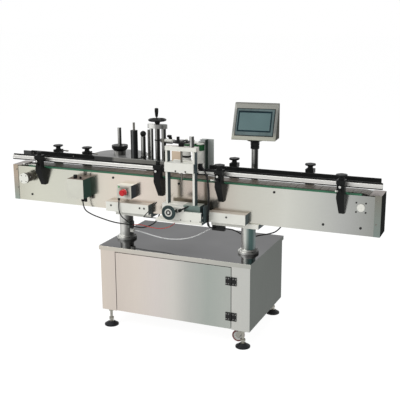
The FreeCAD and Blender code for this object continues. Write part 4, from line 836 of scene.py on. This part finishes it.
class Shape:
    """One mesh piece in millimetres, with y = 0 on the conveyor's centre line."""

    def __init__(self, name, body, slot, materials, width=0.5):
        self.name = name
        self.body = body
        self.slot = slot
        self.materials = materials
        self.width = width
        self.mesh = bmesh.new()
        self.turn = None

    def corner(self, place):
        """Vertex at a place, turned about the pole where the piece has a turn."""
        if self.turn:
            x, y, angle = self.turn
            dx = place[0] - x
            dy = place[1] - y
            place = (
                x + dx * math.cos(angle) - dy * math.sin(angle),
                y + dx * math.sin(angle) + dy * math.cos(angle), place[2])
        return self.mesh.verts.new(at(*place))

    def face(self, corners, material=0):
        made = self.mesh.faces.new(corners)
        made.material_index = material
        return made

    def block(self, x, y, z, material=0, right=None, top=None):
        """Block between pairs of x, y and z; its right and top faces may take other materials."""
        outline = [(x[0], z[0]), (x[1], z[0]), (x[1], z[1]), (x[0], z[1])]
        sides = self.prism(outline, "y", y[0], y[1], material)
        if right is not None:
            sides[1].material_index = right
        if top is not None:
            sides[2].material_index = top

    def prism(self, outline, axis, low, high, material=0):
        """Prism of an outline given in the two other axes."""
        def place(first, second, along):
            if axis == "x":
                return (along, first, second)
            if axis == "y":
                return (first, along, second)
            return (first, second, along)
        start = [self.corner(place(a, b, low)) for a, b in outline]
        end = [self.corner(place(a, b, high)) for a, b in outline]
        self.face(start, material)
        self.face(end[::-1], material)
        sides = []
        for i in range(len(outline)):
            j = (i + 1) % len(outline)
            sides.append(self.face([start[i], end[i], end[j], start[j]], material))
        return sides

    def turned(self, start, axis, profile, material=0, sides=40):
        """Turned form of (distance along the axis, radius) pairs; a radius may be a function of the angle."""
        axis, side, other = square_to(axis)
        loops = []
        for distance, radius in profile:
            middle = Vector(start) + axis * distance
            if radius == 0:
                loops.append([self.corner(middle)])
                continue
            loop = []
            for step in range(sides):
                angle = 2 * math.pi * step / sides
                reach = radius(angle) if callable(radius) else radius
                loop.append(self.corner(middle + (side * math.cos(angle) + other * math.sin(angle)) * reach))
            loops.append(loop)
        for low, high in zip(loops, loops[1:]):
            self.join(low, high, material)
        for end in (loops[0], loops[-1]):
            if len(end) > 1:
                self.face(end, material)

    def join(self, low, high, material):
        """Faces between two loops of a turned form."""
        count = max(len(low), len(high))
        for i in range(count):
            j = (i + 1) % count
            if len(low) == 1:
                self.face([low[0], high[j], high[i]], material)
            elif len(high) == 1:
                self.face([low[i], low[j], high[0]], material)
            else:
                self.face([low[i], low[j], high[j], high[i]], material)

    def rod(self, start, axis, length, radius, material=0, chamfer=0.8, sides=40):
        """Round bar with chamfered ends."""
        self.turned(start, axis, [
            (0, radius - chamfer), (chamfer, radius), (length - chamfer, radius), (length, radius - chamfer)],
            material, sides)

    def ring(self, middle, axis, radius, thickness, material=0, sides=64):
        """Round bar bent into a ring."""
        axis, side, other = square_to(axis)
        loops = []
        for step in range(sides):
            angle = 2 * math.pi * step / sides
            out = side * math.cos(angle) + other * math.sin(angle)
            loop = []
            for part in range(14):
                tilt = 2 * math.pi * part / 14
                reach = radius + thickness * math.cos(tilt)
                loop.append(self.corner(Vector(middle) + out * reach + axis * thickness * math.sin(tilt)))
            loops.append(loop)
        for low, high in zip(loops, loops[1:] + loops[:1]):
            self.join(low, high, material)

    def screw(self, place, axis, radius, height, head=0, hole=1):
        """Socket-head screw standing on a face."""
        socket = hexagon(radius * 0.5)
        self.turned(place, axis, [
            (0, radius), (height - 0.6, radius), (height, radius - 0.6), (height, socket),
            (height * 0.35, socket)], head, 24)
        self.turned(place, axis, [(height * 0.3, socket), (height * 0.36, socket)], hole, 24)

    def finish(self, *replaced):
        """Turn the shapes into one object that rides on its body."""
        bmesh.ops.recalc_face_normals(self.mesh, faces=self.mesh.faces)
        data = bpy.data.meshes.new(self.name)
        self.mesh.to_mesh(data)
        self.mesh.free()
        for material in self.materials:
            data.materials.append(looks[material])
        thing = placed(self.name, data)
        finish_edges(thing, self.width)
        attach(thing, self.body)
        if replaced:
            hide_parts(*replaced)


def hexagon(across):
    """Radius of a hexagon as a function of the angle; across is its inner radius."""
    return lambda angle: across / math.cos((angle + math.pi / 6) % (math.pi / 3) - math.pi / 6)


def lobed(radius, count, depth):
    """Radius of a rounded grip with shallow hollows."""
    return lambda angle: radius - depth * (0.5 - 0.5 * math.cos(count * angle))


def make_columns():
    """Tubes with turned floor flanges, saddle plates and saddle blocks."""
    shape = Shape("column_set", "stand", "column_steel", [
        "tube_left", "tube_right", "block_top", "satin_white", "screw_black", "flange_left", "satin_slate",
        "flange_right"], 0.8)
    flange = [
        (0, 36.2), (0, 51), (1, 52), (11, 52), (12.5, 50.5), (13, 43), (14, 41.5), (20.5, 41), (22, 39.5),
        (22, 36.2)]
    for index, x in enumerate(column_x):
        foot = (x, 0, top_plate_z)
        shape.turned(foot, up, [
            (0.2, column_radius), (saddle_low - top_plate_z - 0.2, column_radius)], index, 72)
        shape.turned(foot, up, flange, 5 + 2 * index, 72)
        for screw_x, screw_y in round_places((x, 0), 47, 4, 45):
            shape.screw((screw_x, screw_y, top_plate_z + 12.2), up, 3.2, 2.6, 4, 4)
    # Saddle plates and blocks: painted shade on their right ends and on the blocks' top faces.
    for block_x, plate_x in (((-401, -156), (-361, -156)), ((176, 365), (176, 422))):
        shape.block(plate_x, (-70, 58), (saddle_low, saddle_mid - 0.1), 3, 6)
        shape.block(block_x, (-100, -panel_face), (saddle_mid, saddle_top), 3, 6, 2)
    for x in (-371, -205, -180, 267):
        shape.screw((x, -99.9, 636), forward, 5, 1.6, 4, 4)
    shape.finish("support_columns")


def chain_place(distance, radius):
    """x and z of the chain's path at a distance along it, at a radius from the shafts."""
    straight = drive_x - idler_x
    arc = math.pi * (chain_inner + chain_outer) / 2
    if distance < straight:
        return idler_x + distance, shaft_z + radius
    distance -= straight
    if distance < arc:
        angle = math.pi / 2 - math.pi * distance / arc
        return drive_x + radius * math.cos(angle), shaft_z + radius * math.sin(angle)
    distance -= arc
    if distance < straight:
        return drive_x - distance, shaft_z - radius
    distance -= straight
    angle = -math.pi / 2 - math.pi * distance / arc
    return idler_x + radius * math.cos(angle), shaft_z + radius * math.sin(angle)


def make_chain():
    """Slats with open joints and hinge knuckles, all the way round."""
    # Slats: their own brown with painted shade drifting along the conveyor.
    shape = Shape("chain_slats", "stand", "chain_grey", ["slat_brown", "chrome_dark"], 0.5)
    whole = 2 * (drive_x - idler_x) + math.pi * (chain_inner + chain_outer)
    pitch = whole / slat_count
    steps = 4
    for slat in range(slat_count):
        rows = []
        for step in range(steps + 1):
            distance = slat * pitch + slat_gap / 2 + (pitch - slat_gap) * step / steps
            low = chain_place(distance, chain_inner + 0.2)
            high = chain_place(distance, chain_outer)
            outline = zip((low, high, high, low), (-1, -1, 1, 1))
            rows.append([shape.corner((x, side * slat_half_width, z)) for (x, z), side in outline])
        for row, following in zip(rows, rows[1:]):
            for i in range(4):
                j = (i + 1) % 4
                shape.face([row[i], row[j], following[j], following[i]])
        shape.face(rows[0])
        shape.face(rows[-1][::-1])
        x, z = chain_place((slat + 1) * pitch % whole, chain_inner + 0.9)
        shape.rod((x, -38, z), backward, 76, 1.6, 1, 0.3, 10)
    shape.finish("slat_chain")


def make_rails():
    """Guide rails: grooved silver body, black insert, bosses and rods."""
    body = [
        (50, -6.5), (60, -6.5), (60, -3), (59, -2.4), (59, -1.4), (60, -0.8), (60, 9.5), (58.5, 11.5), (50, 11.5)]
    lower = [(50, -11.5), (58.5, -11.5), (59.5, -10.5), (59.5, -6.6), (50, -6.6)]
    insert = [(49.8, -14), (46, -14), (44, -11.5), (44, 15.5), (46, 18), (49.8, 18)]
    for name, (x0, x1, side, places) in rails.items():
        shape = Shape(name + "_bar", name, "anodised", [
            "rail_silver", "black_plastic", "chrome", "zinc", "insert_grey"], 0.7)
        # The rear left rail's insert takes a painted sheen.
        lining = 4 if name == "rear_rail_left" else 1
        for outline, material in ((body, 0), (lower, 1), (insert, lining)):
            shape.prism([(side * y, rail_z + z) for y, z in outline], "x", x0, x1, material)
        for x in places:
            shape.block((x - 12, x + 12), sorted((side * 60.1, side * 66)), (rail_z - 8, rail_z + 8), 1)
            shape.rod((x, side * 65, rail_z), (0, side, 0), 60, 6, 2)
        if name == "rear_rail_left":
            add_infeed_beam(shape)
        shape.finish(name)


def add_infeed_beam(shape):
    """Black guide plate at the infeed, rounded at its inner end, with its screws."""
    left = -942
    right = -549.0
    low = 835.0
    high = 862.0
    radius = 11.0
    outline = [(left, low)]
    for middle_z, first in ((low + radius, -90), (high - radius, 0)):
        for step in range(7):
            angle = math.radians(first + 15 * step)
            outline.append((right - radius + radius * math.cos(angle), middle_z + radius * math.sin(angle)))
    outline.append((left, high))
    shape.prism(outline, "y", 34, 43.9, 1)
    for x in (-671, -930):
        shape.screw((x, 34.1, 848), forward, 3.4, 1.4, 3, 1)


def make_knobs():
    """Lobed clamp knobs on their stems over the rail brackets."""
    for name, (x, y) in knobs.items():
        shape = Shape(name + "_grip", name, "black_plastic", ["black_plastic", "zinc"], 0.4)
        shape.rod((x, y, knob_stem_low), up, knob_low - knob_stem_low, 4.9, 1)
        shape.turned((x, y, knob_low), up, [(0, 15), (2, 15), (4.5, 13), (13, 12.6), (15.5, 15)], 0, 48)
        rim = lobed(28.0, 6, 2.2)
        shape.turned((x, y, knob_low), up, [
            (15, lobed(21, 6, 1.5)), (17.5, lobed(26.6, 6, 2)), (19.5, rim), (22.5, rim),
            (24.5, lobed(25, 6, 1.6)), (25, 12), (24.2, 9), (24.2, 0)], 0, 72)
        shape.finish(name)


def on_face(across, up, out):
    """Point on the screen box's leaning face: offsets across it, up its slope and out of it."""
    run = face_high_y - face_low_y
    rise = case_top - case_low
    length = math.hypot(run, rise)
    slope_y = run / length
    slope_z = rise / length
    return (
        pole[0] + across,
        (face_low_y + face_high_y) / 2 + up * slope_y - out * slope_z,
        (case_low + case_top) / 2 + up * slope_z + out * slope_y)


def stepped(shape, rings):
    """Nested rectangles on the leaning face: half width, half height, out, middle across and up, material."""
    loops = []
    for ring in rings:
        half_u, half_v, out, mid_u, mid_v = ring[:5]
        corners = ((-1, -1), (1, -1), (1, 1), (-1, 1))
        loops.append([
            shape.corner(on_face(mid_u + su * half_u, mid_v + sv * half_v, out)) for su, sv in corners])
    for low, high, ring in zip(loops, loops[1:], rings[1:]):
        shape.join(low, high, ring[-1])
    shape.face(loops[-1], rings[-1][-1])
    shape.face(loops[0][::-1], rings[0][-1])


def make_screen_box():
    """Swivel with its ribbed collar, folded case and stepped bezel with the display."""
    shape = Shape("screen_box", "operator_panel", "panel_steel", [
        "steel_case", "case_side", "black_plastic", "bezel_blue", "bezel_dark", "glass", "zinc",
        "bezel_line"], 0.8)
    x, y = pole
    shape.turn = (x, y, math.radians(case_yaw))
    shape.turned((x, y, 945.4), up, [
        (0, 17), (0, 20.5), (2, 22), (13, 22), (14, 20.8), (16, 20.8), (17, 22), (35, 22.6), (39, 28),
        (40.5, 37), (42, 40), (48.1, 40.6), (48.1, 10.2)], 2, 64)
    low = case_low + 0.2
    side = [
        (face_low_y + 1.5, low), (case_back, low), (case_back, case_top - 0.5),
        (face_high_y + 1, case_top - 0.5)]
    shape.prism(side, "x", x - case_half_width + 1, x + case_half_width - 1, 1)
    # The case front carries painted light and shade banded up its face.
    stepped(shape, [
        (110.2, 95.2, -2.4, 0, 0, 1), (110.2, 95.2, 0.1, 0, 0, 0), (108.8, 93.8, 1.0, 0, 0, 0),
        (97.2, 71.0, 1.0, 0, -4, 0), (97.0, 70.8, 0.4, 0, -4, 2), (94.2, 68.0, 0.4, 0, -4, 2),
        (94.0, 67.8, 3.2, 0, -4, 3), (92.2, 66.0, 4.0, 0, -4, 3), (89.0, 60.5, 4.0, -1.2, -1.5, 7),
        (85.5, 53.4, 4.0, -2.5, -0.5, 7), (84.5, 52.4, 3.0, -2.5, -0.5, 4), (80.5, 47.5, 3.0, -2.5, -0.5, 4),
        (78.0, 44.6, 1.6, -2.5, -0.5, 4), (77.2, 43.8, 1.6, -2.5, -0.5, 5)])
    for across in (-60, 60):
        shape.screw((x + across, case_back, case_low + 20), backward, 4, 2, 6, 2)
    shape.finish("operator_panel")


def hinge_screws(shape, places, head):
    """Four screws in each hinge leaf whose columns stand at two places."""
    for height in hinge_heights:
        for x in places:
            for dz in (-13, 13):
                shape.screw((x, hinge_face, height + dz), forward, 3.2, 1.2, head, 1)


def make_fixings():
    """Screws, shaft ends and thin levers on the standing pieces."""
    shape = Shape("fixings", "stand", "zinc", [
        "zinc", "screw_black", "satin_white", "hinge_screw", "chrome"], 0.3)
    for side in (-1, 1):
        for x, z in panel_screws:
            shape.screw((x, side * 57.9, z), (0, side, 0), 4.2, 1.8)
    hinge_screws(shape, (333.5, 346), 3)
    for height in hinge_heights:
        shape.rod((322, -177.9, height - 23), up, 46, 2.2, 3, 0.4, 16)
    shape.turned((idler_x, -107.9, shaft_z), forward, [(0, 28.6), (1.6, 28.6), (2.6, 27.6), (2.6, 0)], 2, 64)
    for dx in (-14.3, 14.3):
        for dz in (-15.4, 15.4):
            shape.screw((idler_x + dx, -110.4, shaft_z + dz), forward, 2.7, 1.2, 1, 1)
    shape.rod((idler_x + 24, -84, shaft_z + 6), (1, -0.4, 0), 7, 3.2, 4, 0.5, 16)
    shape.turned((drive_x, -60, shaft_z), forward, [(0, 18.4), (0.8, 18.4), (1.6, 17.6), (1.6, 0)], 2, 64)
    for x in (57, 110, 160):
        shape.screw((x, plate_face, 620), forward, 3, 1.2, 1, 1)
    nut = hexagon(6.6)
    shape.turned((38, plate_face, 664), forward, [
        (0, 9), (1.5, 9), (1.5, nut), (7, nut), (7, 3), (9, 3), (9, 0)], 4, 24)
    turn = (1, -0.25, 0.05)
    for start in ((-788, 88, 864), (-604, 88, 860)):
        shape.rod(start, turn, 52, 3.4, 1, 0.8, 16)
        shape.rod([start[i] + 44 * turn[i] for i in range(3)], turn, 17, 4.6, 0, 1.2, 16)
    shape.rod((-79, -150, 609), (-1, 0, -0.01), 79, 2.4, 1, 0.6, 12)
    shape.rod((-157, -150, 608), (0.67, 0, 0.74), 114, 2.2, 1, 0.6, 12)
    shape.finish()


def make_mast_clamp():
    """Clamp bar on the mast with its plate and knob."""
    shape = Shape("mast_clamp", "stand", "chrome_rod", ["satin_pale", "black_plastic", "chrome_dark"], 0.4)
    shape.rod((-166, 128, 951), (1, -0.1, 0), 46, 8.5, 0, 1.5, 32)
    shape.block((-176, -128), (132, 168), (934, 938), 1)
    shape.rod((*mast_knob, 956.2), up, 9, 5, 2, 0.8, 20)
    grip = lobed(13, 6, 1.5)
    shape.turned((*mast_knob, 965), up, [(0, 9), (2, grip), (10, grip), (12, 8), (12, 0)], 1, 48)
    shape.finish()


def make_lift_crank():
    """Lead screw of the label head with its collar, tapered hub, rim, spokes and grip."""
    shape = Shape("lift_crank", "head_lift_wheel", "chrome_rod", [
        "black_plastic", "bar_screw", "chrome"], 0.4)
    z = 1053
    rim = 42.5
    for low, length, radius in ((708.3, 300.4, 13.4), (697, 11.2, 5.9), (1008.8, 24, 5.9)):
        shape.rod((*mast, low), up, length, radius, 1)
    shape.turned((*mast, 943), up, [(0, 15.2), (0.8, 16), (5.2, 16), (6, 15.2)])
    shape.turned((*mast, 1030.4), up, [
        (0, 11), (2, 12), (14, 15.5), (24, 17), (28, 15), (29.5, 6), (29.5, 0)])
    shape.ring((*mast, z), up, rim, 5.6)
    for x, y in round_places(mast, 12, 3, 90):
        shape.rod((x, y, z), (x - mast[0], y - mast[1], 0), 29, 4.2, 0, 0.8, 16)
    for x, y in round_places(mast, rim, 1, 121):
        shape.rod((x, y, z + 3), up, 9, 4.6, 2, 0.8, 20)
        shape.turned((x, y, z + 10), up, [
            (0, 5.6), (2, 7), (14, 8.6), (30, 10.2), (42, 10), (46, 8.4), (47, 5), (47, 0)])
    shape.finish("head_lift_wheel")


def make_feed_wheel():
    """Hand wheel of the wrap station with its rim, dished face, light ring, hub and screw."""
    shape = Shape("feed_hand_wheel", "wrap_feed_wheel", "black_plastic", [
        "black_plastic", "wheel_teal", "satin_pale", "chrome"], 0.3)
    x, z = feed_wheel
    face = (x, -206.3, z)
    shape.ring((x, -204.9, z), backward, 32, 4.6, 1)
    shape.rod((x, -206.2, z), backward, 4.4, 31, 1, 0.6, 64)
    shape.turned(face, forward, [(0, 19.5), (2.4, 19.5), (3.2, 18.5), (3.2, 14), (0, 13)], 2, 56)
    shape.turned(face, forward, [(0, 12.6), (1.2, 12.2), (2.4, 8.5), (2.4, 6)])
    shape.turned((x, -208.7, z), forward, [(0, 6.4), (0.7, 6), (1.2, 5), (1.2, 0)], 3, 32)
    shape.turned((x, -172.5, z), forward, [(0, 11), (1, 12), (14, 12.6), (29.2, 17)], 0, 48)
    shape.rod((x, -172.4, z), backward, 78, 5.9, 3)
    shape.finish("wrap_feed_wheel")


def make_pole_sleeve():
    """Outer tube of the screen box's pole."""
    shape = Shape("pole_sleeve", "stand", "chrome_rod", ["bar_pole", "black_plastic"])
    shape.rod((*pole, 760), up, 185.2, sleeve_radius)
    shape.turned((*pole, 752), up, [(0, 20), (1, 21), (12, 21), (13, 19.5), (13, 16.9)], 1, 48)
    shape.finish()


def make_guard_hood():
    """Bent hood at the top of the belt guard, over the drive roller."""
    shape = Shape("guard_hood", "stand", "anodised", ["guard_grey", "guard_inner", "guard_top"], 0.4)
    outer = [(87.6, 976.6), (68, 976.6), (59, 972.5), (51, 965.6)]
    inner = [(54, 965.6), (62, 966.8), (70, 968.5), (87.6, 968.5)]
    sides = shape.prism(outer + inner, "y", 60.6, 96.6)
    # Painted shade on the hood's inner side and on its top faces.
    for side in sides[4:]:
        side.material_index = 1
    for side in sides[:3]:
        side.material_index = 2
    shape.finish()


def make_ball_roller():
    """Steel guide roller with its lower collar and round end."""
    shape = Shape("ball_roller", "steel_roller", "chrome_rod", ["bar_roller", "black_plastic"], 0.4)
    shape.rod((*ball_place, 814), up, 14.2, 5.9)
    shape.turned((*ball_place, 828.4), up, [(0, 14.6), (1, 15.2), (10, 15.2), (11, 14.4)])
    shape.rod((*ball_place, 839.5), up, 125, 12.8)
    shape.turned((*ball_place, 851), up, [(0, 15), (1, 16), (7, 16), (8, 15)], 1)
    radius = 16
    tilts = [math.radians(tilt) for tilt in range(-50, 90, 10)]
    ball = [(radius * math.sin(tilt), radius * math.cos(tilt)) for tilt in tilts]
    shape.turned((*ball_place, 978), up, ball + [(radius, 0)], 1)
    shape.finish("steel_roller")


def make_moving_details():
    """Screws and rings on the moving pieces."""
    shape = Shape("door_screws", "door", "zinc", ["hinge_screw", "screw_black"], 0.3)
    hinge_screws(shape, (298, 310.5), 0)
    shape.finish()
    shape = Shape("block_screws", "wrap_block", "zinc", ["screw_black", "black_plastic"], 0.3)
    for x in (25.5, 78):
        shape.screw((x, -157.2, 857.5), forward, 4.2, 1.8)
    shape.finish()
    shape = Shape("idler_gear", "belt_idler_roller", "black_plastic", [
        "black_plastic", "zinc", "satin_pale"], 0.3)
    teeth = lobed(24, 18, 3)
    crest = lobed(24.5, 6, 2)
    shape.turned((*belt_idler, 862), up, [(0, teeth), (10, teeth), (10, 22)], 0, 144)
    shape.turned((*belt_idler, 872.2), up, [(0, 23), (5, 23), (6, 22.2), (6, 22)], 2, 48)
    shape.turned((*belt_idler, 884), up, [(0, crest), (8, crest), (9.5, 22.5), (9.5, 22)], 0, 72)
    shape.finish()
    shape = Shape("reel_hub", "unwind_reel", "chrome_rod", ["chrome", "black_plastic", "satin_pale"], 0.3)
    for x, y in round_places(unwind, 36, 3, 90):
        shape.screw((x, y, 888), up, 3, 1.2)
    shape.finish()


# Stage


def lamp(name, place, target, size, power):
    """Large soft area light aimed at a point."""
    data = bpy.data.lights.new(name, "AREA")
    data.size = size
    data.energy = power
    thing = placed(name, data)
    thing.location = place
    aim = Vector(target) - Vector(place)
    thing.rotation_euler = aim.to_track_quat("-Z", "Y").to_euler()


def seen_directly(tree):
    """1 for camera, glossy and transmission rays, else 0."""
    path = tree.nodes.new("ShaderNodeLightPath")
    total = path.outputs["Is Camera Ray"]
    for name in ("Is Glossy Ray", "Is Transmission Ray"):
        most = tree.nodes.new("ShaderNodeMath")
        most.operation = "MAXIMUM"
        tree.links.new(total, most.inputs[0])
        tree.links.new(path.outputs[name], most.inputs[1])
        total = most.outputs[0]
    return total


def make_world():
    """Even pale fill that shows as plain white behind the object."""
    world = bpy.data.worlds.new("world")
    bpy.context.scene.world = world
    world.use_nodes = True
    tree = world.node_tree
    background = tree.nodes["Background"]
    background.inputs["Color"].default_value = colour(1.0)
    ramp = tree.nodes.new("ShaderNodeMapRange")
    ramp.inputs["To Min"].default_value = world_fill
    ramp.inputs["To Max"].default_value = 1.0
    tree.links.new(seen_directly(tree), ramp.inputs["Value"])
    tree.links.new(ramp.outputs["Result"], background.inputs["Strength"])


def make_floor():
    """Pale floor that fades into the white background and keeps the object's shadow."""
    mesh = bpy.data.meshes.new("floor")
    corners = [(x * floor_reach, y * floor_reach, 0) for x, y in ((-1, -1), (1, -1), (1, 1), (-1, 1))]
    mesh.from_pydata(corners, [], [(0, 1, 2, 3)])
    floor = placed("floor", mesh)
    floor.location.z = -0.0005
    shader = Shader("floor_paper")
    grain = shader.ramp(shader.noise(300.0, 2.0), floor_colour * 0.98, floor_colour)
    shader.link(grain, shader.surface.inputs["Base Color"])
    shader.set(Roughness=0.9, Specular_IOR_Level=0.0)
    white = shader.add("ShaderNodeEmission")
    white.inputs["Color"].default_value = colour(1.0)
    white.inputs["Strength"].default_value = floor_glow
    mixed = shader.add("ShaderNodeMixShader")
    share = shader.math("MULTIPLY", seen_directly(shader.tree), floor_white)
    shader.link(share, mixed.inputs[0])
    shader.link(shader.surface.outputs[0], mixed.inputs[1])
    shader.link(white.outputs[0], mixed.inputs[2])
    shader.link(mixed.outputs[0], shader.tree.nodes["Material Output"].inputs["Surface"])
    mesh.materials.append(shader.material)


def make_light():
    """Key from the front left, fill from the right and a top light."""
    lamp("key", (-2.2, -3.4, 3.2), (0.0, 0.0, 0.7), 2.4, 110.0)
    lamp("fill", (3.2, -2.4, 2.4), (0.0, 0.0, 0.7), 2.6, 45.0)
    lamp("top", (0.0, 0.6, 4.0), (0.0, 0.0, 0.6), 3.0, 70.0)


make_camera()
make_cords()
dress_stand()
dress_boxes()
dress_stations()
make_columns()
make_chain()
make_rails()
make_knobs()
make_screen_box()
make_fixings()
make_mast_clamp()
make_lift_crank()
make_feed_wheel()
make_pole_sleeve()
make_guard_hood()
make_ball_roller()
make_moving_details()
make_world()
make_floor()
make_light()

bpy.context.scene.view_settings.view_transform = "Standard"
